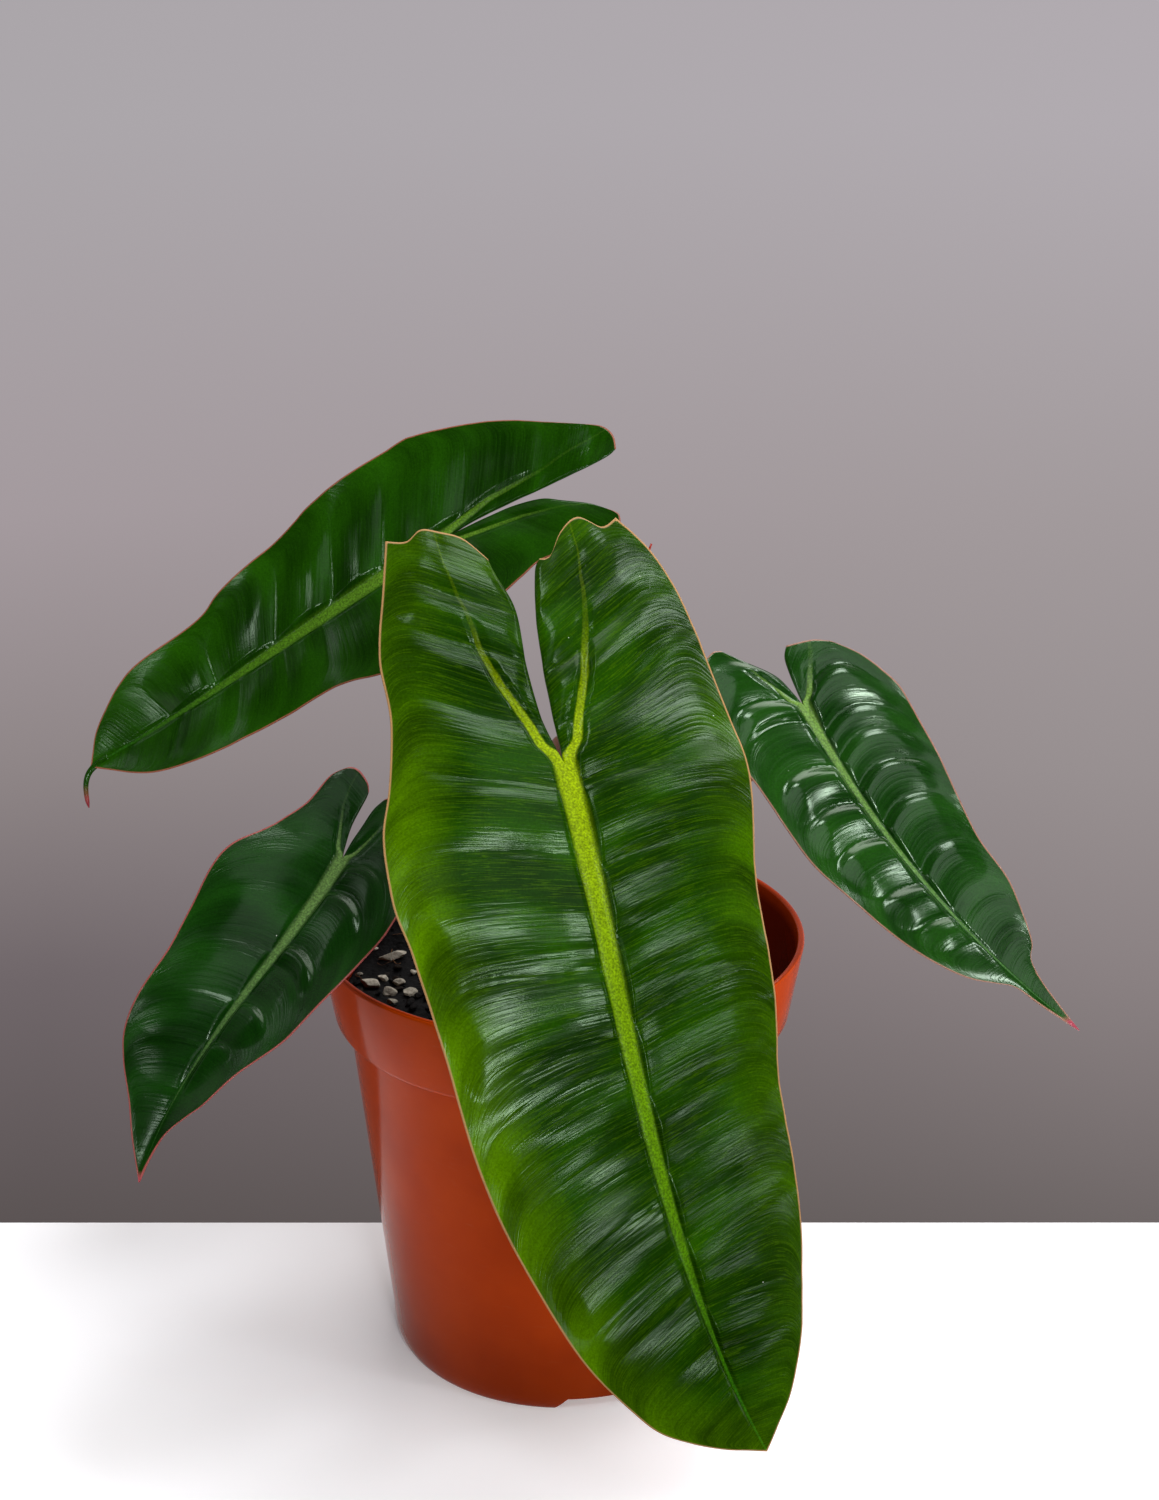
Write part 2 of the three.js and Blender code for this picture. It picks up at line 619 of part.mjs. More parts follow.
function bladeGeometry(leaf) {
  const shape = leafShape(leaf);
  const triangles = [];
  for (const half of [shape.left, shape.right]) {
    const lobe = lobeRows(shape, half);
    const rows = [...lobe, ...mainRows(shape, half)];
    const add = (...corners) => {
      for (const triangle of quad(...corners))
        triangles.push(half.sign > 0 ? triangle : [...triangle].reverse());
    };
    for (let i = 0; i + 1 < rows.length; i++) {
      for (let j = 0; j < shape.columns; j++) {
        const corners = [rows[i][j], rows[i + 1][j], rows[i + 1][j + 1], rows[i][j + 1]];
        const [a, b, c, d] = corners.map(([upper]) => upper);
        const [e, f, g, h] = corners.map(([, lower]) => lower);
        add(a, b, c, d);
        add(e, h, g, f);
      }
      const [nearTop, nearBottom] = rows[i][shape.columns];
      const [farTop, farBottom] = rows[i + 1][shape.columns];
      add(nearTop, farTop, farBottom, nearBottom);
      if (i < lobe.length) add(rows[i][0][1], rows[i + 1][0][1], rows[i + 1][0][0], rows[i][0][0]);
    }
    for (let j = 0; j < shape.columns; j++) {
      const [aTop, aBottom] = rows[0][j];
      const [bTop, bBottom] = rows[0][j + 1];
      add(aTop, bTop, bBottom, aBottom);
    }
  }
  const blade = surfaceOf(triangles);
  return leaf.drip ? geometryOf(solidOf(blade).add(solidOf(dripGeometry(shape)))) : blade;
}

// A petiole: its thicker foot clasps the stem, and its top is cut off flat just under the blade.
function petioleGeometry(leaf) {
  const shape = leafShape(leaf);
  const { path, radius } = leaf.petiole;
  const curve = new THREE.CubicBezierCurve3(...path.map(vector));
  const radiusAt = (t) => {
    const foot = PETIOLE.flare * Math.exp(-t / PETIOLE.flareReach);
    return radius * (1 + foot + PETIOLE.taper * Math.cos(Math.PI * t));
  };
  const outlineAt = (t) => circle(radiusAt(t), PETIOLE.sides);
  const petiole = solidOf(loft(curve, PETIOLE.steps, outlineAt));
  const { origin, up } = frameAt(shape, 0);
  const below = BLADE.thickness + BLADE.ribBelow * shape.rib + PETIOLE.seat + GAP;
  const size = 40;
  const cutter = new THREE.BoxGeometry(size, size, size);
  cutter.applyQuaternion(new THREE.Quaternion().setFromUnitVectors(new THREE.Vector3(0, 0, 1), up));
  const centre = origin.addScaledVector(up, size / 2 - below);
  cutter.translate(...centre.toArray());
  return geometryOf(petiole.subtract(solidOf(cutter)).subtract(stemSpace()));
}

// The rolled new leaf: a spindle with a long point.
function newLeafGeometry() {
  const curve = new THREE.CubicBezierCurve3(...NEW_LEAF.path.map(vector));
  const girth = (t) => 0.62 + 0.38 * Math.sin(Math.PI * Math.min(1, t * 1.15)) - 0.55 * t ** 3;
  return loft(curve, 14, (t) => circle(NEW_LEAF.radius * Math.max(0.08, girth(t)), 10));
}

// The sheath: a crescent in section, which narrows to a point beside the new leaf.
function sheathGeometry() {
  const whole = new THREE.CubicBezierCurve3(...NEW_LEAF.path.map(vector));
  const reach = SHEATH.height / whole.getLength();
  const points = Array.from({ length: 12 }, (_, i) => whole.getPointAt((reach * i) / 11));
  const curve = new THREE.CatmullRomCurve3(points);
  return loft(curve, 10, (t) => {
    const half = radians((360 - SHEATH.open) / 2) * Math.sqrt(1 - 0.97 * t);
    const outer = SHEATH.inner + SHEATH.thickness;
    const count = 8;
    const arc = (radius, from, to) =>
      Array.from({ length: count }, (_, k) => {
        const angle = radians(SHEATH.facing) + from + ((to - from) * k) / (count - 1);
        return [radius * Math.cos(angle), radius * Math.sin(angle)];
      });
    return [...arc(outer, -half, half), ...arc(SHEATH.inner, half, -half)];
  });
}

const plant = new THREE.Group();
plant.add(part("pot", potGeometry(), COLOURS.terracotta));
plant.add(part("potting_mix", mixGeometry(), COLOURS.mix));
plant.add(part("stem", stemGeometry(), COLOURS.stem));
for (const leaf of LEAVES) {
  plant.add(part(`petiole_${leaf.name}`, petioleGeometry(leaf), COLOURS.petiole));
  plant.add(part(`blade_${leaf.name}`, bladeGeometry(leaf), COLOURS.blade));
}
plant.add(part("new_leaf", newLeafGeometry(), COLOURS.bud));
plant.add(part("sheath", sheathGeometry(), COLOURS.petiole));

export default plant;
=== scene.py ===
"""Looks of a young Philodendron billietiae in a terracotta-coloured nursery pot.

Lengths in the tables are millimetres, and every mesh is made in metres, in the part's frame:
the origin is the centre of the pot's base, +Z is up, -Y faces the camera.
"""

import math
from functools import partial
from types import SimpleNamespace as Sizes

import bmesh
import bpy
import numpy as np
from mathutils import Euler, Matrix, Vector


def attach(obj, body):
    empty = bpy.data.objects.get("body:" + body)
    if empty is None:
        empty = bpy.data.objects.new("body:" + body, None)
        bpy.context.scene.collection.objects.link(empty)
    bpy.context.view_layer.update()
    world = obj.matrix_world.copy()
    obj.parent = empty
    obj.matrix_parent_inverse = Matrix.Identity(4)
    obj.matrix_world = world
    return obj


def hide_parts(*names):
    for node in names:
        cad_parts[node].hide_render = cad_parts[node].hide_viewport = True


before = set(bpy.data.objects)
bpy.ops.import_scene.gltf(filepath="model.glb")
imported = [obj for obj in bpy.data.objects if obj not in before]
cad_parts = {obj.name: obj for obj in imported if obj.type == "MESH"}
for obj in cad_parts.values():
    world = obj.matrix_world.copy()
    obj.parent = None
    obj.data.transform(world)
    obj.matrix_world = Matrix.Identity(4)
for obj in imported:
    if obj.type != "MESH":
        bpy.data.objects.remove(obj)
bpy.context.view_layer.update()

MM = 0.001

# ---------------------------------------------------------------- shapes, in mm

POT = Sizes(height=111, lip=60, band_foot=56.7, band_height=20.4, shoulder=53.2, heel=44, heel_height=7.8,
            foot=41.9, wall=1.7, pad=14, pad_slope=1.6, raised=3.3, foot_width=3.6, around=216, sharp=35)
NOTCH = Sizes(count=3, width=20, slope=2.7, height=3.5, depth=9, first=-79)
DRAIN = Sizes(count=8, radius=3.2, circle=28, around=32)
MIX = Sizes(level=92.3, mound=1.2, relief=0.8, heap=6, heap_at=(-42, 34), heap_spread=160, around=240, rings=66)
PERLITE_GRAINS, BARK_CRUMBS, FIBRES = 74, 620, 90
FIBRE_STEPS = 14
STEM = Sizes(radius=5, foot=66, top=104, scars=(80, 90, 98))
NEW_LEAF = Sizes(path=[(0, 0, 104.3), (1, 3, 140), (10, 5, 175), (21.3, 2, 209.2)], radius=3.1)
SHEATH = Sizes(height=52, inner=3.7, open=110, facing=35, arc=28)
BLADE_THICKNESS = 0.5
MARGIN_THICKNESS = 0.32

# Perlite in plain sight at the left: x, y, length, width, turn in degrees. No other grain lies in that gap.
SEEN_PERLITE = [
    (-43.9, 19, 6.4, 3.0, 5), (-48.4, 5.4, 5.2, 3.4, -35), (-45.0, 8.6, 3.9, 2.4, -20), (-43.1, 1.4, 3.4, 2.8, -60),
    (-41.2, 6, 3.0, 2.2, 10), (-38.6, 0.5, 4.6, 3.0, 50), (-42.0, -4.9, 3.4, 2.4, 30), (-48.7, 23.3, 2.0, 1.5, 0),
    (-37.7, 11.9, 2.2, 1.8, 40), (-51.5, 11.9, 1.5, 1.2, 0), (-45.6, -5.1, 1.4, 1.1, 70), (52.6, 18.3, 1.6, 1.2, 0)]
SEEN_GAP = Sizes(right=-33, front=-8, back=26)

# Leaves. `midrib` and `stalk` are cubic curves, as in the part's source. `facing` and `tip_facing` say which way
# the upper face points at the sinus and at the tip, in degrees right of the camera's side and up. `lime` is the
# half width of the lime band by share of the midrib. `grid` gives the rows per millimetre and the columns up to
# the lobe's rib and from there to the margin.
#
# Each half has its outline as (along the midrib, out from it): `inner` goes up the sinus from the start of the
# midrib, and `top` from there to the first point of the `margin`. The rib of its lobe is in `lime`: (along, out,
# half width). Its quilting is made of `swells` between sunken side veins: (where a swell starts at the midrib,
# its crest, its height). `lean` says how far the veins lean to the tip on their way out, as slopes at places
# along the midrib, and they arch by `arch` round the distance `middle`. A swell rises over `start` mm from the
# rib and ends `flat` mm from the margin, after fading for `fade` mm. Below the lobes, its height falls to the
# share `outer` over about `reach` mm from the rib.
Half = partial(Sizes, outer=0.8, reach=6)
LEAVES = dict(
    front=Sizes(
        grid=(1.45, 9, 44), facing=(18, 40), tip_facing=(23, 0), fold=0.1, curl=0.004, rib=2.9, veins=12, wave=1,
        calm=1, stalk_radius=2.7,
        midrib=[(1.5, -102, 193), (12, -131, 164), (18.5, -151, 111), (43, -137.5, 55.5)],
        stalk=[(0, -7.4, 95.6), (-1, -24, 150), (0, -72, 202.5), (2.4, -104.4, 189.6)],
        lime=[(0, 2.45), (0.13, 2.3), (0.33, 1.87), (0.52, 1.37), (0.65, 1.0), (0.74, 0.6), (0.8, 0.35), (1, 0.2)],
        left=Half(
            rib=0.48, arch=0.6, middle=14, flat=1, fade=6.5, start=0.8,
            inner=[(-11, 2.1), (-24, 2.2), (-36, 1.3), (-46, 3.6), (-49, 4.1)],
            top=[(-54.8, 8), (-57.2, 12), (-58.8, 16), (-56.8, 19.5)],
            margin=[(-58, 23.5), (-47, 26.5), (-32, 30.5), (-18, 31.3), (-4, 34.5), (8, 38.3), (22, 39.2), (33, 37.2),
                (49, 35.4), (68, 34.6), (82, 32.7), (97, 29.7), (114, 25.9), (128, 20.9), (136, 17.5), (142, 12.7),
                (147.5, 7.3), (151, 3.2)],
            swells=[(-62, -54, 0.41), (-46, -38, 0.54), (-33, -27, 0.94), (-22, -15, 0.68), (-8, -2, 0.68),
                (5, 13, 1.08), (20.5, 34, 1.49), (42, 50, 1.35), (56, 59, 0.27), (60.5, 67, 1.35), (75, 80, 0.54),
                (88, 94, 1.22), (102, 106, 0.7), (110, 116, 1.5), (122, 128, 1.4), (134, 139, 0.8)],
            lean=[(-60, -0.7), (-25, -0.6), (0, -0.3), (15, -0.22), (35, -0.1), (48, 0), (66, 0.22), (94, 0.35),
                (150, 0.5)],
            lime=[(0, 2.3, 1.2), (-10, 4.9, 1.0), (-20, 8.5, 0.85), (-28, 10.5, 0.65), (-40, 12, 0.4),
                (-50, 13.5, 0.2)]),
        right=Half(
            rib=0.42, arch=0.6, middle=14, flat=1, fade=12, start=0.8, outer=0.35, reach=9,
            inner=[(-12, 0.4), (-23, 1.2), (-34, 2.6), (-45, 5.2), (-48, 7)],
            top=[(-48.5, 9.5), (-54.5, 13.5), (-57.8, 18.2), (-55.2, 23)],
            margin=[(-57.4, 27), (-50.3, 32.3), (-42, 35.7), (-30.6, 37.8), (-12.8, 39.4), (0, 40.5), (10, 39.7),
                (31, 36.4), (59, 34), (75, 31.5), (95, 29), (113, 26), (128, 20.7), (136, 16.8), (145, 10.4),
                (150, 4.8)],
            swells=[(-62, -54, 0.54), (-47, -39, 0.68), (-33, -26, 0.81), (-20, -14, 1.22), (-8, -2, 0.81),
                (6, 15, 1.35), (23.5, 30, 0.94), (37, 46, 1.22), (54, 61, 0.94), (69, 75, 1.08), (84, 92, 0.81),
                (100, 108, 1.5), (114, 120, 1.5), (125, 130, 1.4), (136, 141, 0.7)],
            lean=[(-60, -0.75), (-25, -0.6), (0, -0.25), (30, -0.25), (60, -0.15), (100, -0.05), (120, 0.3),
                (150, 0.5)],
            lime=[(0, 2.3, 1.2), (-10, 5.5, 1.0), (-20, 9.5, 0.95), (-30, 12.4, 0.8), (-40, 14.5, 0.45),
                (-50, 16, 0.2)])),
    right=Sizes(
        grid=(1.7, 7, 34), facing=(4, 50), tip_facing=(4, 50), fold=-0.26, curl=0.008, rib=1.5, veins=11, wave=0.6,
        calm=0.35, stalk_radius=1.9,
        midrib=[(59, 6, 167), (72.5, -11, 145), (94.5, -28.5, 120.5), (121, -43, 104.5)],
        stalk=[(6.6, 0.4, 95.6), (16.6, 3, 122), (38, 5, 143), (60.4, 6.4, 163.6)],
        lime=[(0, 1.2), (0.1, 0.8), (0.25, 0.6), (0.42, 0.44), (0.57, 0.32), (0.68, 0.2), (1, 0.1)],
        left=Half(
            rib=0.42, arch=2.5, middle=9, flat=2, fade=8, start=2,
            inner=[(-4, 0.9), (-10, 3), (-16, 8.7), (-20.5, 13)],
            top=[(-21, 15)],
            margin=[(-20, 17.5), (-15, 21), (-6, 23.3), (4, 23.3), (13, 22), (25, 21.3), (35, 20.9), (45, 19),
                (56, 16.5), (67, 13), (75, 9.5), (80, 5.4), (84, 2.2), (90, 1.3)],
            swells=[(-22, -15, 0.7), (-10, -5, 0.8), (-1, 1.5, 1.3), (4.5, 10, 0.6), (17.5, 20.5, 1.7),
                (28, 30.5, 1.2), (38, 41, 1.7), (52, 55, 1.5), (62, 65, 0.9), (70, 74, 0.4)],
            lean=[(-20, -0.6), (0, -0.05), (50, 0), (65, 0.1), (90, 0.4)],
            lime=[(0, 1.2, 0.7), (-6, 4.2, 0.4), (-13, 8.2, 0.3), (-20, 13, 0.15)]),
        right=Half(
            rib=0.55, arch=5, middle=9.5, flat=1.5, fade=6.5, start=1,
            inner=[(-5, 0.3), (-10, 0.8), (-13.7, 1.6), (-16, 3.2)],
            top=[(-15.4, 6), (-14.3, 9.8)],
            margin=[(-12, 13.3), (-5.6, 18.4), (3, 22), (10, 23), (24, 22.5), (38, 19.7), (51, 17.4), (63, 16),
                (73, 12.3), (79.5, 9), (82, 6), (87, 3.9), (94, 2)],
            swells=[(-16, -8, 0.5), (-1, 2, 1.2), (9, 12, 0.7), (16, 19, 0.7), (25, 27.5, 1.0), (35.5, 38.5, 1.0),
                (50, 53, 0.8), (62, 66, 0.3)],
            lean=[(-20, -0.4), (0, 0.1), (50, 0.2), (90, 0.5)],
            lime=[(0, 1.2, 0.8), (-6, 4.4, 0.6), (-12, 7.6, 0.55), (-16, 9, 0.2)])),
    left=Sizes(
        grid=(1.7, 7, 34), facing=(-8, 42), tip_facing=(-28, 45), fold=-0.42, curl=0.01, rib=1.5, veins=10, wave=0.7,
        calm=0.35, stalk_radius=1.9,
        midrib=[(-51.5, -25.5, 140), (-65, -45.5, 122), (-85, -63.5, 110.5), (-93.5, -81, 86)],
        stalk=[(-6.2, -2.3, 95.6), (-15, -7, 116), (-33, -18, 127), (-52.2, -26, 137)],
        lime=[(0, 1.2), (0.22, 0.85), (0.45, 0.6), (0.58, 0.35), (0.7, 0.15), (1, 0.05)],
        left=Half(
            rib=0.45, arch=1.5, middle=8, flat=2.5, fade=9, start=1.2,
            inner=[(-4, 1.1), (-9.3, 2.2), (-16.8, 2.6), (-18.6, 2.8)],
            top=[(-20.4, 4), (-22, 7), (-21.6, 9.2)],
            margin=[(-19.6, 11), (-16.5, 12.4), (-8.5, 13.6), (-2.4, 16.2), (3, 18.8), (11.5, 22.8), (20, 23.5),
                (31, 21.8), (42, 19.6), (53, 19.4), (60, 18), (65.5, 14.7), (73, 8.8), (80, 4.8)],
            swells=[(-20, -14, 0.3), (-7, -2, 0.4), (11, 18, 0.5), (28, 34, 0.45), (42, 47, 0.6), (54, 59, 0.5),
                (66, 70, 0.3)],
            lean=[(-20, -0.3), (0, 0.2), (15, 0.35), (60, 0.5), (90, 0.6)],
            lime=[(0, 1.2, 0.5), (-6, 3.6, 0.25), (-12, 6, 0.2), (-18, 7, 0.15)]),
        right=Half(
            rib=0.48, arch=2, middle=6, flat=4.5, fade=7, start=2,
            inner=[(-5, -0.2), (-9.5, 0), (-15, 0.3), (-18.5, 1.5)],
            top=[(-21, 4.8), (-20.5, 9)],
            margin=[(-17.5, 13), (-10, 17.5), (0, 20.5), (12.5, 21.4), (21, 20.6), (31, 20), (42, 18.7), (48, 17.2),
                (57.5, 12.8), (67, 9.5), (71.5, 6.2), (76, 2.6), (80, 1.2)],
            swells=[(-14, -8, 0.4), (2, 4, 0.8), (9.5, 12, 1.5), (25, 27.5, 1.7), (31, 34, 0.6), (42, 44.5, 1.5),
                (53, 55.5, 1.5)],
            lean=[(-20, -0.3), (0, 0.0), (25, 0.25), (60, 0.4), (90, 0.5)],
            lime=[(0, 1.2, 0.5), (-6, 3.4, 0.25), (-12, 5, 0.2), (-18, 6.5, 0.15)])),
    back=Sizes(
        grid=(1.6, 7, 36), facing=(-11, 43), tip_facing=(-11, 43), fold=-0.3, curl=0.008, rib=1.8, veins=11, wave=0.8,
        calm=0.6, stalk_radius=2.3,
        midrib=[(-29.5, 29.5, 202.5), (-60, 23, 184.5), (-88, 15.5, 164.5), (-116, 10, 150)],
        drip=[(-118.4, 9, 148.6), (-116.4, 6.8, 140.4)],
        stalk=[(-4.3, 5.4, 95.6), (-10, 14, 135), (-19, 26, 172), (-30.2, 30.2, 199)],
        lime=[(0, 1.7), (0.2, 1.6), (0.4, 1.35), (0.5, 1.1), (0.6, 0.85), (0.7, 0.6), (0.8, 0.45), (0.9, 0.3),
            (1, 0.15)],
        left=Half(
            rib=0.35, arch=0.5, middle=10, flat=1.5, fade=12, start=1.2,
            inner=[(-9, -0.3), (-15, -1), (-22, -2), (-33, -3.9), (-44, -5.3), (-48, -4.8)],
            top=[(-49.3, -0.8), (-48.2, 2.8)],
            margin=[(-43.7, 6.6), (-36.3, 12), (-30, 16.6), (-23, 20.6), (-15.4, 24), (-8, 26.7), (-2, 27.6),
                (21, 26.3), (28, 25), (36, 23), (53, 20.2), (61, 17.8), (79, 16.4), (87, 14.2), (93.4, 10.5),
                (98, 6.9), (101, 3)],
            swells=[(-45, -38, 0.9), (-28, -20, 0.5), (-6, 6, 1.3), (18, 25, 1.0), (33, 39, 1.3), (49, 56, 1.3),
                (66, 72, 1.3), (80, 87, 0.6)],
            lean=[(-45, -0.8), (0, -0.65), (24, -0.65), (40, -0.62), (57, -0.35), (73, 0.05), (88, 0.5)],
            lime=[(0, 1, 0.8), (-5, 1.3, 0.75), (-15, 2.3, 0.6), (-30, 1.5, 0.35), (-44, 1.6, 0.2)]),
        right=Half(
            rib=0.45, arch=0.5, middle=10, flat=1.5, fade=12, start=1.2,
            inner=[(-9, 1.1), (-15, 2.1), (-20, 3.3), (-26, 6), (-30, 9.9), (-35, 15), (-38, 19.4)],
            top=[(-39.5, 22.5)],
            margin=[(-38, 26), (-34, 27), (-26, 24.5), (-18, 21.9), (-11.7, 23), (-4, 24.5), (8, 26.3), (20, 26),
                (30, 24.5), (38, 21.3), (46, 19.4), (65, 17.8), (74, 16.5), (82.5, 14), (89, 11.5), (94, 8.2),
                (98.5, 4.1)],
            swells=[(-30, -22, 0.4), (-14, -8, 0.5), (-2, 4, 0.5), (15, 22, 0.6), (36, 41, 0.7), (47, 51, 0.6),
                (60, 65, 0.7), (77, 82, 0.5)],
            lean=[(-30, -0.6), (0, -0.2), (40, 0.3), (80, 0.7)],
            lime=[(0, 1.6, 0.8), (-6, 3.4, 0.6), (-20, 7.4, 0.4), (-30, 12, 0.25), (-38, 17, 0.15)])),
)
SIDES = dict(left=-1, right=1)

# ---------------------------------------------------------------- helpers


def linear(colour):
    """A linear RGBA tuple from an sRGB hex string."""
    channels = [int(colour[i:i + 2], 16) / 255 for i in (0, 2, 4)]
    return tuple(c / 12.92 if c <= 0.04045 else ((c + 0.055) / 1.055) ** 2.4 for c in channels) + (1.0,)


def add(tree, kind, *values, named=(), stops=(), take=None, **settings):
    """Adds a shader node with its settings. Its inputs are links, hex colours or plain numbers, in the order of
    the sockets that the settings leave open, or named. It gives the first open output, or the one to `take`."""
    made = tree.nodes.new("ShaderNode" + kind)
    for name, value in settings.items():
        setattr(made, name, value)
    open_inputs, open_outputs = ([s for s in sockets if s.enabled] for sockets in (made.inputs, made.outputs))
    for socket, value in [*zip(open_inputs, values), *((made.inputs[name], named[name]) for name in named)]:
        if isinstance(value, bpy.types.NodeSocket):
            tree.links.new(value, socket)
        else:
            socket.default_value = linear(value) if isinstance(value, str) else value
    if stops:
        elements = made.color_ramp.elements
        while len(elements) < len(stops):
            elements.new(1.0)
        for element, (place, colour) in zip(elements, stops):
            element.position, element.color = place, linear(colour)
    return made.outputs[take] if take else open_outputs[0] if open_outputs else None


def cleared(owner):
    """What adds nodes to a material or world, after its first ones are taken out."""
    owner.use_nodes = True
    owner.node_tree.nodes.clear()
    return partial(add, owner.node_tree)


def new_material(name):
    made = bpy.data.materials.new(name)
    return made, cleared(made)


def placed(name, data):
    made = bpy.data.objects.new(name, data)
    bpy.context.scene.collection.objects.link(made)
    return made


def step(x):
    """Smooth step, with values below 0 and above 1 cut off."""
    x = np.clip(x, 0, 1)
    return x * x * (3 - 2 * x)


def unit(rows):
    return rows / np.linalg.norm(rows, axis=1)[:, None]


def vectors(*columns):
    """Vectors from the three arrays of their numbers."""
    return np.stack(np.broadcast_arrays(*columns), -1)


def turns(count):
    """Angles all the way round in even steps."""
    return np.arange(count) * 2 * math.pi / count


def direction(azimuth, elevation):
    """A unit vector by its degrees to the right of the camera's side and up."""
    a, e = math.radians(azimuth), math.radians(elevation)
    return np.array([math.sin(a) * math.cos(e), -math.cos(a) * math.cos(e), math.sin(e)])


def mesh_object(name, points, faces, attributes=(), material=None, smooth=True, merge=1e-6):
    """An object from points in mm and faces, with number or vector attributes on its points."""
    mesh = bpy.data.meshes.new(name)
    mesh.from_pydata((np.reshape(points, (-1, 3)) * MM).tolist(), [], [list(map(int, f)) for f in faces])
    for key, values in dict(attributes).items():
        values = np.asarray(values, np.float32)
        kind, field = ("FLOAT", "value") if values.size == len(mesh.vertices) else ("FLOAT_VECTOR", "vector")
        mesh.attributes.new(key, kind, "POINT").data.foreach_set(field, values.ravel())
    if merge:
        work = bmesh.new()
        work.from_mesh(mesh)
        bmesh.ops.remove_doubles(work, verts=work.verts, dist=merge)
        bmesh.ops.dissolve_degenerate(work, edges=work.edges, dist=merge)
        work.to_mesh(mesh)
        work.free()
    mesh.polygons.foreach_set("use_smooth", [smooth] * len(mesh.polygons))
    mesh.update()
    if material:
        mesh.materials.append(material)
    return placed(name, mesh)


def along_path(dense, count):
    """Points and unit tangents at even steps along a path, and its length."""
    reach = np.concatenate([[0], np.cumsum(np.linalg.norm(np.diff(dense, axis=0), axis=1))])
    even = np.linspace(0, reach[-1], count)
    places = np.stack([np.interp(even, reach, dense[:, k]) for k in range(dense.shape[1])], 1)
    return places, unit(np.gradient(places, axis=0)), reach[-1]


def bezier(points, count=400):
    """The same for a cubic curve."""
    p = np.asarray(points, float)
    t = np.linspace(0, 1, 4 * count)[:, None]
    dense = (1 - t) ** 3 * p[0] + 3 * (1 - t) ** 2 * t * p[1] + 3 * (1 - t) * t * t * p[2] + t ** 3 * p[3]
    return along_path(dense, count)


def catmull(points, count):
    """Points of an even Catmull-Rom curve through its knots."""
    p = np.asarray(points, float)
    last = len(p) - 1
    place = np.linspace(0, 1, count) * last
    i = place.astype(int)
    w = (place - i)[:, None]
    a, b, c, d = (p[np.clip(i + k, 0, last)] for k in (-1, 0, 1, 2))
    v0, v1 = (c - a) / 2, (d - b) / 2
    return (2 * b - 2 * c + v0 + v1) * w ** 3 + (-3 * b + 3 * c - 2 * v0 - v1) * w ** 2 + v0 * w + b


def rings_along(places, tangents, angles, reach, flat=1, start=(1.0, 0, 0)):
    """Rings of points round a path's places, `reach` mm out, and `flat` of that along the second of the two
    directions across the path, which turn as little as they can along it."""
    side, sides = np.array(start), []
    for tangent in tangents:
        side = side - np.dot(side, tangent) * tangent
        side = side / np.linalg.norm(side)
        sides.append(side)
    sides, ups = np.array(sides)[:, None], np.cross(tangents, sides)[:, None]
    angles, reach = np.asarray(angles)[..., None], np.asarray(reach)[..., None]
    return places[:, None] + reach * (np.cos(angles) * sides + flat * np.sin(angles) * ups)


def level_ring(reach, z, angles, middle=(0, 0)):
    return np.stack([middle[0] + reach * np.cos(angles), middle[1] + reach * np.sin(angles), z + 0 * angles], 1)


def tube_faces(rings, around, cap=True):
    k = np.arange(around)
    n = (k + 1) % around
    faces = [face for i in range(rings - 1) for face in np.stack([k, n, n + around, k + around], 1) + i * around]
    return faces + [k[::-1], k + (rings - 1) * around] if cap else faces


def tube(name, rings, material=None, attributes=(), cap=True, smooth=True):
    """An object with a skin over a row of rings."""
    faces = tube_faces(len(rings), len(rings[0]), cap)
    return mesh_object(name, rings, faces, attributes, material, smooth)


def ripple(x, y, seed):
    """A smooth uneven height from -1 to 1: waves of unrelated lengths, the same each time."""
    draw = np.random.default_rng(seed)
    total = np.zeros(np.broadcast(x, y).shape)
    for _ in range(9):
        angle, length, phase = draw.uniform(0, 2 * math.pi), draw.uniform(0.6, 1.9), draw.uniform(0, 7)
        total += np.sin((x * math.cos(angle) + y * math.sin(angle)) / length + phase)
    return total / 4.5


# ---------------------------------------------------------------- blades


class Blade:
    """One leaf's sheet: the midrib's frame along its length, and the outlines of its two halves."""

    def __init__(self, leaf):
        self.leaf = leaf
        self.places, self.tangents, self.length = bezier(leaf.midrib)
        base, tip = (direction(*angles) for angles in (leaf.facing, leaf.tip_facing))
        facing = base + np.linspace(0, 1, len(self.places))[:, None] * (tip - base)
        self.sideways = unit(np.cross(facing, self.tangents))
        self.up = np.cross(self.tangents, self.sideways)
        self.halves = {}
        for side in SIDES:
            half = getattr(leaf, side)
            edge = catmull(half.margin + [(self.length, 0)], 20 * len(half.margin) + 1)
            inner, top = (along_path(catmull(line, 200), 201)[0] for line in (
                [(0, 0), *half.inner], [half.inner[-1], *half.top, half.margin[0]]))
            self.halves[side] = Sizes(**vars(half), edge=edge, reached=np.maximum.accumulate(edge[:, 0]),
                                      corner=half.margin[0][0], inner_line=inner, top_line=top)

    def rib_width(self, share):
        return self.leaf.rib * (1 - share) ** 0.8 + 0.25

    def point(self, along, out, height):
        """The place of a point of the sheet, which is creased at the midrib and curls to its margins."""
        leaf, last = self.leaf, len(self.places) - 1
        place = np.clip(along / self.length, 0, 1) * last
        i = np.minimum(place.astype(int), last - 1)
        w = (place - i)[..., None]
        origin, tangent, sideways, up = (table[i] * (1 - w) + table[i + 1] * w for table in (
            self.places, self.tangents, self.sideways, self.up))
        crease = np.hypot(out, leaf.rib) - leaf.rib
        sag = leaf.fold * crease + 0.5 * leaf.curl * out * out
        return (origin + tangent * np.minimum(along, 0)[..., None] + sideways * out[..., None]
                + up * (height - sag)[..., None])


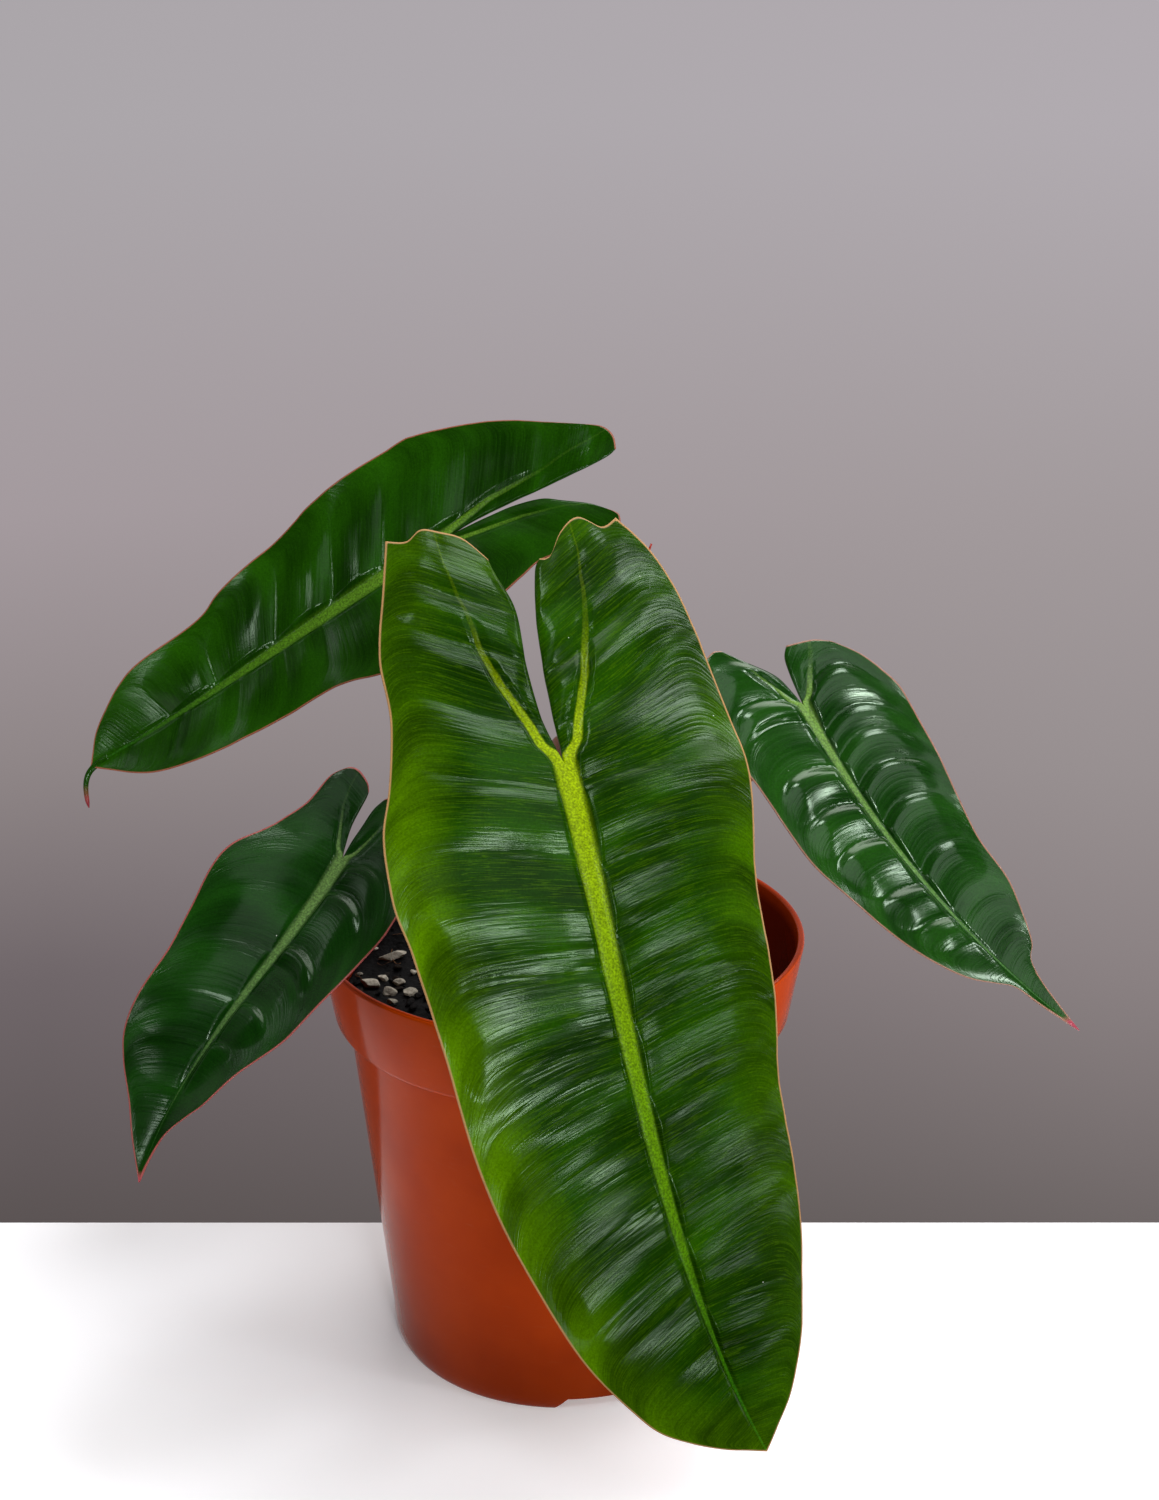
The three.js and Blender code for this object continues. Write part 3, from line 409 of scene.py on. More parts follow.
def margin_at(half, along):
    """How far the margin is from the midrib at places along it."""
    i = np.clip(np.searchsorted(half.reached, along, "left"), 1, len(half.edge) - 1)
    a, b = half.edge[i - 1], half.edge[i]
    share = (np.minimum(along, b[..., 0]) - a[..., 0]) / np.maximum(b[..., 0] - a[..., 0], 1e-9)
    return a[..., 1] + (b[..., 1] - a[..., 1]) * np.clip(share, 0, 1)


def vein_start(half, along, out):
    """Where the side vein through a place starts at the midrib, in mm along it."""
    slope = np.interp(along, *zip(*half.lean))
    return along - slope * out - half.arch * ((out / half.middle - 1) ** 2 - 1)


def on_line(line, share):
    return np.stack([np.interp(share * 200, np.arange(201), line[:, k]) for k in (0, 1)], -1)


def spread(rib_share, width, inside, outside):
    """Shares across a half for each row: even up to the rib and from it, and close together at the margin."""
    last = np.minimum(1.4 / np.maximum(width, 0.2), 0.25)
    even = rib_share + (1 - last - rib_share) * np.linspace(0, 1, outside - 2)
    return np.concatenate([np.linspace(0, 1, inside + 1)[:-1] * rib_share, even, 1 - last * [0.5, 0.2, 0.0]], 1)


def half_fields(blade, half):
    """Rows of a half from the lobe's top to the tip, as arrays of places and what the finish needs."""
    length, lime = blade.length, blade.leaf.lime
    rows_per_mm, *columns = blade.leaf.grid
    # Below the sinus, rows stand closer near the tip and lean towards it on their way out.
    station = length * (1 - (1 - np.linspace(0, 1, int(length * rows_per_mm) + 1)[:, None]) ** 1.2)
    share = station / length
    lean = 0.32 * length * share * (1 - share)
    rib_half = blade.rib_width(share)
    width = margin_at(half, station)
    across = spread(np.minimum(0.4, rib_half / np.maximum(width, 1e-3)), width, *columns)
    along = np.minimum(length, station + lean * across ** 2)
    out = across * margin_at(half, along)
    slope = np.gradient(width[:, 0], station[:, 0] + np.arange(len(station)) * 1e-9)[:, None]
    painted = np.interp(share, *zip(*lime))
    main = dict(
        along=along, out=out, across=across, rib=out / painted, from_rib=out - 0.9 * painted,
        ridge=np.maximum(0, 1 - (out / (1.3 * rib_half)) ** 2) * rib_half,
        edge=(1 - across) * width * np.cos(np.arctan(np.clip(slope, -2, 2))),
        sinus=np.full(out.shape, 99.0), share=np.broadcast_to(share, out.shape))

    # In the lobe, rows run from the sinus to the margin, and those near its top bend to the top's outline.
    rows = int(abs(half.corner) * rows_per_mm)
    v = 1 - np.arange(rows)[:, None] / rows
    inner = on_line(half.inner_line, v)
    outer = np.stack([v * half.corner, margin_at(half, v * half.corner)], -1)
    start = blade.rib_width(0.0) / margin_at(half, 0.0)
    reach = np.linalg.norm(outer - inner, axis=-1)
    across = spread(start + (half.rib - start) * v, reach, *columns)
    top = half.top_line
    straight = top[0] + (top[-1] - top[0]) * across[..., None]
    place = (inner + (outer - inner) * across[..., None]
             + (on_line(top, across) - straight) * (v ** 2)[..., None])
    along, out = place[..., 0], place[..., 1]
    stations, *band = zip(*half.lime[::-1])
    centre, narrow = (np.interp(along, stations, column) for column in band)
    whole = lime[0][1]
    joined = step(-along / (2.4 * whole))
    low = -0.5 * whole * (1 - joined) + (centre - narrow) * joined
    high = whole * (1 - joined) + (centre + narrow) * joined
    from_middle, half_band = out - (low + high) / 2, (high - low) / 2
    deep = blade.leaf.rib * (1 - 0.8 * v)
    top_edge = (1 - v) * np.linalg.norm(place[0] - place[-1], axis=1)
    lobe = dict(
        along=along, out=out, across=across, rib=from_middle / half_band,
        from_rib=np.abs(from_middle) - 0.9 * half_band,
        ridge=np.maximum(0, 1 - (from_middle / deep) ** 2) * 0.55 * deep / 1.3,
        edge=np.minimum((1 - across) * reach, top_edge),
        sinus=across * reach, share=np.broadcast_to(-v, across.shape))
    return Sizes(**{key: np.concatenate([lobe[key], main[key]], 0) for key in main}), rows


def blade_relief(blade, half, field, sign, seed):
    """Height over the folded sheet: swells between the sunken side veins, waves at the margin, small bumps."""
    leaf, along, out, calm = blade.leaf, field.along, field.out, blade.leaf.calm
    place = vein_start(half, along, out) + 0.7 * calm * ripple(along / 4, out / 4, seed)
    starts, crests, heights = (np.array(column, float) for column in zip(*half.swells))
    spans = np.append(starts[1:], starts[-1] + 16) - starts
    i = np.clip(np.searchsorted(starts, place, "right") - 1, 0, len(starts) - 1)
    through = np.clip((place - starts[i]) / spans[i], 0, 1)
    crest = ((crests - starts) / spans)[i]
    swell = np.where(through < crest, np.sin(math.pi / 2 * through / crest),
                     np.cos(math.pi / 2 * (through - crest) / (1 - crest))) ** 0.85
    # Below the lobes the swells are lower at a distance from the rib.
    outer = half.outer + (0.8 - half.outer) * step(-along / 10)
    height = heights[i] * (outer + (1.3 - outer) * np.exp(-np.maximum(field.from_rib, 0) / half.reach)
                           + 0.45 * calm * ripple(out / 6, along / 9, seed + 40))
    clear = step((field.edge - half.flat) / half.fade) * step((field.sinus + 1) / 4)
    # The ribs of the lobes sink in only as far as halfway up.
    past_rib = step((-field.share - 0.45) / 0.25)
    inward = np.maximum(step(field.from_rib / half.start), past_rib) * clear
    # A domed cushion: it falls round its corners to the creases, the rib and the margin.
    pillow = height * np.clip(1 - np.hypot(1 - swell, 1 - inward), 0, 1)
    station = np.clip(along, 0, None) / blade.length
    wave = np.sin(0.55 * math.pi * leaf.veins * station + sign) * field.across ** 3
    broad = 0.3 * calm * ripple(along / 7, out / 7, seed + 80) * step(field.edge / 6) * step(field.from_rib / 6)
    fine = 0.12 * calm * ripple(place / 0.9, out / 5, seed + 57) * step(field.from_rib / 2)
    return (leaf.wave * wave * (1 - station ** 3) * np.where(along < 0, 0.6, 1) ** step(-along / 8)
            + (1 - station ** 4) * (pillow + broad + fine))


def build_blade(name, material):
    blade = Blade(LEAVES[name])
    sheets, faces, base = [], [], 0
    for seed, (side, sign) in enumerate(SIDES.items(), 2 * list(LEAVES).index(name)):
        half = blade.halves[side]
        field, lobe_rows = half_fields(blade, half)
        lift = blade_relief(blade, half, field, sign, seed)
        out = sign * field.out
        rib_top = (0.25 * np.clip(1 - field.rib ** 2, 0, 1) * step(1 - np.clip(field.share, 0, 1))
                   * step((0.7 + field.share) / 0.4))
        thick = MARGIN_THICKNESS + (BLADE_THICKNESS - MARGIN_THICKNESS) * step(field.edge / 1.5)
        # Veinlets turn to the tip near the margin.
        bend = 6 * np.maximum(0, field.across - 0.3) ** 7 / 0.082
        vein = vectors(vein_start(half, field.along, field.out) - bend, out, 0)
        share = np.minimum(field.share, 0.965 if name == "back" else 1)
        rows, cols = out.shape
        for under, height in ((0.0, lift + rib_top), (1.0, lift - thick - 0.75 * field.ridge)):
            sheets.append(dict(points=blade.point(field.along, out, height), rib=field.rib, edge=field.edge,
                               under=np.full(out.shape, under), share=share, leaf_mm=vein))
        a = base + np.arange(rows - 1)[:, None] * cols + np.arange(cols - 1)[None, :]
        quads = np.stack([a, a + cols, a + cols + 1, a + 1], -1).reshape(-1, 4)
        below = rows * cols
        # The margin, the sinus and the top of the lobe join the two faces.
        walls = [np.stack([line, line + on, line + on + below, line + below], -1)[:, ::way]
                 for line, on, way in ((a[:, -1] + 1, cols, 1), (a[:lobe_rows, 0], cols, -1), (a[0], 1, 1))]
        faces += [part[:, ::sign] for part in (quads, quads[:, ::-1] + below, *walls)]
        base += 2 * below
    joined = {key: np.concatenate([sheet[key] for sheet in sheets]) for key in sheets[0]}
    return mesh_object("leaf_" + name, joined.pop("points"), np.concatenate(faces), joined, material)


def build_drip(material):
    """The hooked end of the back leaf's tip."""
    blade = Blade(LEAVES["back"])
    ends = [blade.point(np.array([blade.length - d]), np.array([0.0]), np.array([-0.3]))[0] for d in (5, 0)]
    places, tangents, _ = bezier([*ends, *blade.leaf.drip], 40)
    angles = turns(12)
    t = np.linspace(0, 1, len(places))[:, None] + 0 * angles
    radius = (0.95 - 0.45 * t) * np.sqrt(np.clip((1 - t) / 0.12, 0.05, 1))
    rings = rings_along(places, tangents, angles, radius, 0.75, (0.0, 0, 1))
    attributes = dict(rib=0 * t + 3, edge=6 * (1 - t) ** 2, under=0 * t, share=0.935 + 0.065 * t,
                      leaf_mm=vectors(10 * t, 0, 0))
    return tube("leaf_back_drip_tip", rings, material, attributes)


# ---------------------------------------------------------------- stalks, stem, new leaf, sheath


def build_stalk(name, material):
    blade = Blade(LEAVES[name])
    radius = blade.leaf.stalk_radius
    places, tangents, length = bezier(blade.leaf.stalk, 90)
    t = np.linspace(0, 1, len(places))[:, None]
    swell = 0.3 * np.exp(-t / 0.06) + 0.06 * np.cos(math.pi * t) + 0.1 * np.exp(-(((t - 0.96) / 0.035) ** 2))
    angles = turns(28)
    grit = ripple(t * length / 3, np.cos(angles) * 2, 77)
    rings = rings_along(places, tangents, angles, radius * (1 + swell) * (1 + 0.012 * grit))
    # Past the sinus the stalk lies under the blade, inside its rib.
    from_base = rings - blade.places[0]
    over = np.maximum(0, from_base @ blade.up[0] + 0.6) * step((from_base @ blade.tangents[0] + 2) / 2)
    rings -= over[..., None] * blade.up[0]
    return tube("stalk_" + name, rings, material, dict(stalk_mm=vectors(t * length, angles * radius, 0)))


def build_lathe(name, profile, around, material, uneven=0.0):
    """A turned shape from its (radius, height) profile."""
    angles = turns(around)
    waves = ((uneven if r else 0) * ripple(np.cos(angles) * 3, np.sin(angles) * 3 + z / 2, 5) for r, z in profile)
    rings = [level_ring(r + wave, z, angles) for (r, z), wave in zip(profile, waves)]
    return tube(name, rings, material, cap=False)


def build_stem(material):
    r, foot, top = STEM.radius, STEM.foot, STEM.top
    profile = [(0, foot), (r - 1.4, foot + 0.6)]
    for z in STEM.scars:
        profile += [(r - 0.5, z - 2.4), (r - 0.1, z - 0.8), (r - 0.6, z)]
    profile += [(r - 0.5, top - 1), (r - 0.9, top), (0, top)]
    return build_lathe("stem_stub", profile, 64, material, uneven=0.12)


def build_new_leaf(material):
    places, tangents, length = bezier(NEW_LEAF.path, 120)
    share = np.linspace(0, 1, len(places))[:, None]
    girth = 0.62 + 0.38 * np.sin(math.pi * np.minimum(1, share * 1.15)) - 0.55 * share ** 3
    angles, radius = turns(40), NEW_LEAF.radius * np.maximum(0.08, girth)
    # The free edge of the roll makes one step that winds slowly round.
    turn = (angles / (2 * math.pi) - 0.35 * share) % 1.0
    rings = rings_along(places, tangents, angles, radius * (1 - 0.16 * (1 - turn) ** 3))
    return tube("new_leaf_roll", rings, material, dict(stalk_mm=vectors(share * length, angles * radius, share)))


def build_sheath(material):
    """A sheath that opens on one side and narrows to its top, as a bent sheet with an outer and an inner face."""
    places, tangents, length = bezier(NEW_LEAF.path, 400)
    kept = slice(0, int(400 * SHEATH.height / length), 3)
    places, tangents = places[kept], tangents[kept]
    share = np.linspace(0, 1, len(places))[:, None]
    half = math.radians((360 - SHEATH.open) / 2) * np.sqrt(1 - 0.97 * share)
    outer = half * np.linspace(-1, 1, SHEATH.arc)
    reach = np.concatenate([0.45 + 0.2 * (1 - share) + 0.12 * np.sin(outer * 7), 0.05 + 0 * outer], 1)
    angles = np.concatenate([outer, -outer], 1)
    rings = rings_along(places, tangents, math.radians(SHEATH.facing) + angles, SHEATH.inner + reach)
    return tube("sheath_wrap", rings, material, dict(stalk_mm=vectors(share * SHEATH.height, angles * 4, share)))


# ---------------------------------------------------------------- pot

BAND_FOOT_Z = POT.height - POT.band_height
FLARE = (POT.lip - POT.band_foot) / POT.band_height


def inside_profile(clearance):
    inset = POT.wall + clearance
    floor = POT.raised + inset
    heel = POT.heel - inset
    return [(0, inset), (POT.pad - 1, inset), (POT.pad + POT.pad_slope - 1, floor), (heel - 1.5, floor),
            (heel, POT.heel_height + 1), (POT.shoulder - inset, BAND_FOOT_Z - 2),
            (POT.band_foot - inset, BAND_FOOT_Z + 1.2)]


def rounded(profile, radius, steps=5):
    """Rounds each corner of a profile that is sharper than about 20 degrees."""
    p = [np.array(q, float) for q in profile]
    made = [p[0]]
    for a, b, c in zip(p, p[1:], p[2:]):
        u, w = a - b, c - b
        lu, lw = np.linalg.norm(u), np.linalg.norm(w)
        if np.dot(u, w) / (lu * lw) < -0.94:
            made.append(b)
            continue
        cut = min(radius, lu * 0.45, lw * 0.45)
        start, end = b + u / lu * cut, b + w / lw * cut
        made += [(1 - t) ** 2 * start + 2 * (1 - t) * t * b + t * t * end for t in np.arange(steps + 1) / steps]
    return [tuple(q) for q in made] + [tuple(p[-1])]


def build_pot(material):
    foot, half = BAND_FOOT_Z, POT.wall / 2
    heel = [(POT.foot + (POT.heel - POT.foot) * math.sin(a), POT.heel_height * (1 - math.cos(a)))
            for a in np.linspace(0, math.pi / 2, 9)]
    lip = [(POT.lip - half + half * math.cos(a), POT.height - half + half * math.sin(a))
           for a in np.linspace(0, math.pi, 11)]
    foot_inside = POT.foot - POT.foot_width
    outside = [(0, 0), (POT.pad, 0), (POT.pad + POT.pad_slope, POT.raised), (foot_inside - 0.6, POT.raised),
               (foot_inside, 0)]
    step_up = [(POT.shoulder, foot - 0.9), (POT.band_foot - 0.7, foot - 0.2), (POT.band_foot, foot + 1.2)]
    profile = rounded(outside + heel[:1], 0.5)[:-1] + heel
    profile += rounded([heel[-1]] + step_up + [lip[0]], 1.1)[1:-1] + lip
    profile += rounded(inside_profile(0), 0.8)[::-1]
    pot = build_lathe("pot_shell", profile, POT.around, material)

    cutters = []
    w, s, h = NOTCH.width / 2, NOTCH.slope, NOTCH.height
    outline = [(-w - 0.4, -1), (w + 0.4, -1), (w, 0), (w - s, h - 0.5), (w - s - 0.5, h), (s + 0.5 - w, h),
               (s - w, h - 0.5), (-w, 0)]
    start = foot_inside - 2
    for i in range(NOTCH.count):
        turn = math.radians(NOTCH.first + 360 * i / NOTCH.count)
        cos, sin = math.cos(turn), math.sin(turn)
        cutters.append([np.array([(d * cos - y * sin, d * sin + y * cos, z) for y, z in outline])
                        for d in (start, start + NOTCH.depth)])
    for i in range(DRAIN.count):
        turn = math.radians(NOTCH.first + 360 * (i + 0.5) / DRAIN.count)
        x, y = DRAIN.circle * math.cos(turn), DRAIN.circle * math.sin(turn)
        cutters.append([level_ring(DRAIN.radius, z, turns(DRAIN.around), (x, y)) for z in (-10, 10)])
    bpy.context.view_layer.objects.active = pot
    for ends in cutters:
        change = pot.modifiers.new("cut", "BOOLEAN")
        change.operation, change.solver, change.object = "DIFFERENCE", "EXACT", tube("cutter", ends, smooth=False)
        cutter = change.object
        bpy.ops.object.modifier_apply(modifier=change.name)
        bpy.data.objects.remove(cutter)
    pot.data.polygons.foreach_set("use_smooth", [True] * len(pot.data.polygons))
    bpy.context.view_layer.update()
    pot.data.set_sharp_from_angle(angle=math.radians(POT.sharp))
    return pot


# ---------------------------------------------------------------- potting mix

MIX_WALL = POT.band_foot + FLARE * (MIX.level - BAND_FOOT_Z) - POT.wall


def mix_height(x, y):
    out = np.hypot(x, y) / (MIX_WALL - 0.3)
    crumbs = np.sin(x / 2.9 + 1.3 * np.sin(y / 4.1)) * np.cos(y / 3.3 + 0.8 * np.sin(x / 5.3))
    heap = MIX.heap * np.exp(-((x - MIX.heap_at[0]) ** 2 + (y - MIX.heap_at[1]) ** 2) / MIX.heap_spread)
    return MIX.level + MIX.mound * (1 - out * out) + MIX.relief * crumbs * (1 - out ** 4) + heap


def somewhere(draw, wall, least, most=1):
    """A place on the mix, at random, within `wall` mm of its middle."""
    out, angle = wall * math.sqrt(draw.uniform(least, most)), draw.uniform(0, 2 * math.pi)
    return out * math.cos(angle), out * math.sin(angle), angle


def build_mix(material):
    """The plug of mix, with a crumbly top."""
    angles, wall = turns(MIX.around), MIX_WALL - 0.15
    rings = [level_ring(r, z, angles) for r, z in inside_profile(0.3) if z < MIX.level - 3]
    for k in range(MIX.rings, -1, -1):
        r = wall * k / MIX.rings
        x, y = r * np.cos(angles), r * np.sin(angles)
        grain = 0.45 * ripple(x / 1.1, y / 1.1, 21) + 0.3 * ripple(x / 0.5, y / 0.5, 22)
        rings.append(level_ring(r, mix_height(x, y) + grain * min(1.0, (wall - r) / 3 + 0.3) - 0.2, angles))
    return tube("potting_mix_bed", rings, material, cap=False)


def lump(draw, size, rough, detail=2):
    """Points and faces of one uneven lump: a ball pushed in and out, then squeezed to its size."""
    work = bmesh.new()
    bmesh.ops.create_icosphere(work, subdivisions=detail, radius=1.0)
    points = np.array([v.co for v in work.verts])
    faces = [[v.index for v in f.verts] for f in work.faces]
    work.free()
    planes = unit(draw.normal(size=(11, 3)))
    for plane, depth in zip(planes, draw.uniform(0.4, 0.95, 11)):
        points -= np.maximum(0, points @ plane - depth)[:, None] * plane
    shift = draw.uniform(0, 9)
    uneven = ripple(points[:, 0] * 2.2 + shift, points[:, 1] * 2.2 + points[:, 2] * 1.7, int(shift * 99))
    return points * (1 + rough * uneven)[:, None] * np.array(size) / 2, faces


def scatter(name, lumps, material, smooth=True):
    """One object from many small bodies, each (points, faces, tone)."""
    points, faces, tones = zip(*lumps)
    counts = [len(own) for own in points]
    joined = [np.array(face) + base for own, base in zip(faces, np.cumsum(counts) - counts) for face in own]
    tone = np.repeat(tones, counts)
    return mesh_object(name, np.concatenate(points), joined, dict(tone=tone), material, smooth, merge=0)


def laid(points, turn, place):
    return points @ np.array(turn.to_matrix()).T + place


def build_perlite(material):
    draw = np.random.default_rng(17)
    lumps = []
    for x, y, length, width, turn in SEEN_PERLITE:
        points, faces = lump(draw, (1.15 * length, 1.2 * width, width * 0.9), 0.3, 3)
        z = mix_height(x, y) + 0.15 * width
        tilt = Euler((draw.uniform(-0.2, 0.2), draw.uniform(-0.2, 0.2), math.radians(turn)))
        lumps.append((laid(points, tilt, (x, y, z)), faces, draw.uniform(0.5, 1)))
    while len(lumps) < PERLITE_GRAINS:
        size = 1.0 + 4.2 * draw.uniform() ** 2.2
        x, y, _ = somewhere(draw, MIX_WALL - 3, 0.03)
        shape = (size, size * draw.uniform(0.55, 0.9), size * draw.uniform(0.45, 0.7))
        spin = Euler((draw.uniform(-0.4, 0.4), draw.uniform(-0.4, 0.4), draw.uniform(0, 6)))
        points, faces = lump(draw, shape, 0.3, 3 if size > 2.5 else 2)
        if x < SEEN_GAP.right and SEEN_GAP.front < y < SEEN_GAP.back:
            continue
        z = mix_height(x, y) + 0.1 * size
        lumps.append((laid(points, spin, (x, y, z)), faces, draw.uniform(0.3, 1)))
    return scatter("perlite_grains", lumps, material, smooth=False)


def build_bark(material):
    draw = np.random.default_rng(29)
    lumps = []
    for _ in range(BARK_CRUMBS):
        size = 1.2 + 4.6 * draw.uniform() ** 2.6
        x, y, _ = somewhere(draw, MIX_WALL - 0.6 * size - 0.4, 0.01)
        shape = (size, size * draw.uniform(0.4, 0.8), size * draw.uniform(0.2, 0.5))
        points, faces = lump(draw, shape, 0.12, 1 if size < 2 else 2)
        spin = Euler((draw.uniform(-0.5, 0.5), draw.uniform(-0.5, 0.5), draw.uniform(0, 6)))
        z = mix_height(x, y) + draw.uniform(-0.1, 0.2) * shape[2]
        lumps.append((laid(points, spin, (x, y, z)), faces, draw.uniform(0, 1)))
    return scatter("bark_crumbs", lumps, material)


def build_fibres(material):
    """Coco fibres that lie on the mix."""
    draw = np.random.default_rng(43)
    wall = MIX_WALL - 1.5
    angles = turns(5)
    fibres = []
    for _ in range(FIBRES):
        length, radius = draw.uniform(5, 16), draw.uniform(0.07, 0.16)
        *place, turn = somewhere(draw, wall, 0.02, 0.9)
        heading, bend = draw.uniform(0, 2 * math.pi), draw.uniform(-0.22, 0.22)
        path, place = [], np.array(place)
        for k in range(FIBRE_STEPS):
            if np.hypot(*place) > wall:
                heading += 1.2
                place = place * (wall / np.hypot(*place))
            path.append([*place, mix_height(*place) + 0.45 + 0.25 * math.sin(k * 0.8 + turn)])
            heading += bend
            place = place + length / FIBRE_STEPS * np.array([math.cos(heading), math.sin(heading)])
        path = np.array(path)
        rings = rings_along(path, unit(np.gradient(path, axis=0)), angles, radius, 1, (0.01, 0, 1.0))
        fibres.append((rings.reshape(-1, 3), tube_faces(FIBRE_STEPS, len(angles)), draw.uniform()))
    return scatter("coco_fibres", fibres, material)


# ---------------------------------------------------------------- finishes


def leaf_cuticle(name, palette):
    """Waxy leaf: a thin cuticle over green tissue. It gives a soft wide sheen with a sharper glaze over it,
    fine veinlets that curve from the midrib towards the tip, lime-green ribs and a thin pink-cream margin."""
    made, node = new_material(name)
    grow = node("Attribute", take="Vector", attribute_name="leaf_mm")
    sideways = node("SeparateXYZ", grow, take="Y")
    from_rib, edge, under, share = (
        node("Attribute", take="Fac", attribute_name=key) for key in ("rib", "edge", "under", "share"))
    place = node("TexCoord", take="Object")

    # Veinlets stand about 0.7 mm apart and run on for 20 mm or more, and their broader bundles are 3 mm apart.
    # Patches of lighter and darker green are 12 mm wide and drawn out along the veins.
    veinlets, bundles, patch = (
        node("TexNoise", node("Mapping", grow, named={"Scale": scale}), 1.0, detail, roughness)
        for scale, detail, roughness in (((1.5, 0.05, 0.0), 2.5, 0.6), ((0.33, 0.03, 0.0), 1.5, 0.5),
                                         ((0.085, 0.04, 0.0), 2.0, 0.5)))
    # Cells of the skin, 0.4 mm.
    cells = node("TexNoise", place, 2300.0, 1.0)

    tone = node("ValToRGB", patch, stops=[(0.36, palette.dark), (0.5, palette.mid), (0.68, palette.light)])
    # Hair-thin veins show where two bundles of veinlets meet.
    off_line = node("Math", node("Math", veinlets, 0.5, operation="SUBTRACT"), operation="ABSOLUTE")
    for value, *span, colour in ((veinlets, 0.35, 0.7, 0.0, 0.15, palette.light),
                                 (bundles, 0.3, 0.7, 0.0, 0.08, palette.dark),
                                 (off_line, 0.0, 0.03, palette.hair, 0.0, palette.thin)):
        tone = node("Mix", node("MapRange", value, *span), tone, colour, data_type="RGBA")

    grain, speckle = (node("MapRange", cells, 0.3, 0.7, *tones) for tones in ((0.7, 1.22), (0.82, 1.18)))
    rib_tone = node("ValToRGB", share, stops=[(0.0, palette.rib), (0.45, palette.rib_mid), (0.9, palette.rib_end)])
    rib_grain = node("Mix", 1.0, rib_tone, grain, data_type="RGBA", blend_type="MULTIPLY")
    from_middle = node("Math", from_rib, operation="ABSOLUTE")
    on_rib = node("MapRange", from_middle, palette.soft, 0.6, interpolation_type="SMOOTHSTEP")
    # The ribs of the lobes lose their lime green on the way out.
    rib_mask = node("Math", on_rib, node("MapRange", share, -0.62, -0.08, 0.1, 1.0), operation="MULTIPLY")
    # The blade is thinner, and a yellower green, towards its margin: in patches and lines, more on the left
    # half, and most from the lobes to near the tip.
    thin = 1.0
    for row in ((edge, 14.0, 0.5, 0.0, 0.9), (patch, 0.4, 0.62, 0.3, 0.9), (veinlets, 0.35, 0.65, 0.82, 1.0),
                (sideways, -5.0, 5.0, 1.0, 0.35), (share, -0.4, 0.0, 0.3, 1.0), (share, 0.52, 0.75, 1.0, 0.65)):
        thin = node("Math", thin, node("MapRange", *row), operation="MULTIPLY")
    cut_edge = node("MapRange", edge, 0.5, 0.15, interpolation_type="SMOOTHSTEP")
    drip = node("MapRange", share, palette.tip, palette.tip + 0.02)
    rim = node("Math", cut_edge, drip, operation="MAXIMUM")
    rim_tone = node("Mix", drip, palette.rim, palette.end, data_type="RGBA")
    below = node("Mix", rib_mask, palette.under, palette.under_rib, data_type="RGBA")
    # A few specks of dust, 0.2 mm across.
    speck = node("MapRange", node("TexVoronoi", place, 120.0), 0.017, 0.011, 0.0, 0.9)
    for mask, colour, blend in ((rib_mask, rib_grain, "MIX"), (under, below, "MIX"), (thin, palette.thin, "MIX"),
                                (1.0, speckle, "MULTIPLY"), (rim, rim_tone, "MIX"), (speck, "d8dccb", "MIX")):
        tone = node("Mix", mask, tone, colour, data_type="RGBA", blend_type=blend)

    ridge = node("Math", veinlets, 1.1, operation="MULTIPLY")
    skin = node("Math", cells, 0.1, ridge, operation="MULTIPLY_ADD")
    bump = node("Bump", palette.grain, 0.00025, named={"Height": skin})
    # Glossy between the ribs, and satin on the ribs, the underside and the rim.
    rough = node("MapRange", veinlets, 0.32, 0.68, 0.1, 0.25)
    for mask, value in ((rib_mask, 0.42), (under, 0.55), (rim, 0.55)):
        rough = node("Mix", mask, rough, value)
    node("OutputMaterial", node("BsdfPrincipled", named={
        "Base Color": tone, "Roughness": rough, "Normal": bump, "IOR": 1.45, "Specular IOR Level": palette.specular,
        "Specular Tint": "d8ffc8", "Coat Weight": palette.coat, "Coat Roughness": 0.16, "Coat IOR": 1.4,
        "Coat Normal": bump}))
    return made


def stalk_skin(name, colours, speck, roughness=0.42):
    """Fleshy stalk skin: orange-brown with short pale flecks along it and a satin, slightly ribbed surface."""
    made, node = new_material(name)
    grow = node("Attribute", take="Vector", attribute_name="stalk_mm")
    # Flecks are about 0.3 mm wide and 1.2 mm long, tints are 3 by 20 mm, and ribs 0.6 mm apart run along it.
    flecks, tints, ribs = (node("TexNoise", node("Mapping", grow, named={"Scale": scale}), 1.0)
                           for scale in ((0.8, 2.6, 1.0), (0.05, 0.3, 1.0), (0.03, 1.6, 1.0)))
    tone = node("ValToRGB", tints, stops=list(zip((0.32, 0.52, 0.7), colours)))
    fleck = node("MapRange", flecks, 0.56, 0.68, 0.0, 0.55)
    node("OutputMaterial", node("BsdfPrincipled", named={
        "Base Color": node("Mix", fleck, tone, speck, data_type="RGBA"), "IOR": 1.42,
        "Roughness": node("MapRange", flecks, 0.3, 0.7, roughness - 0.06, roughness + 0.1),
        "Normal": node("Bump", 0.5, 0.0003, named={"Height": ribs})}))
    return made


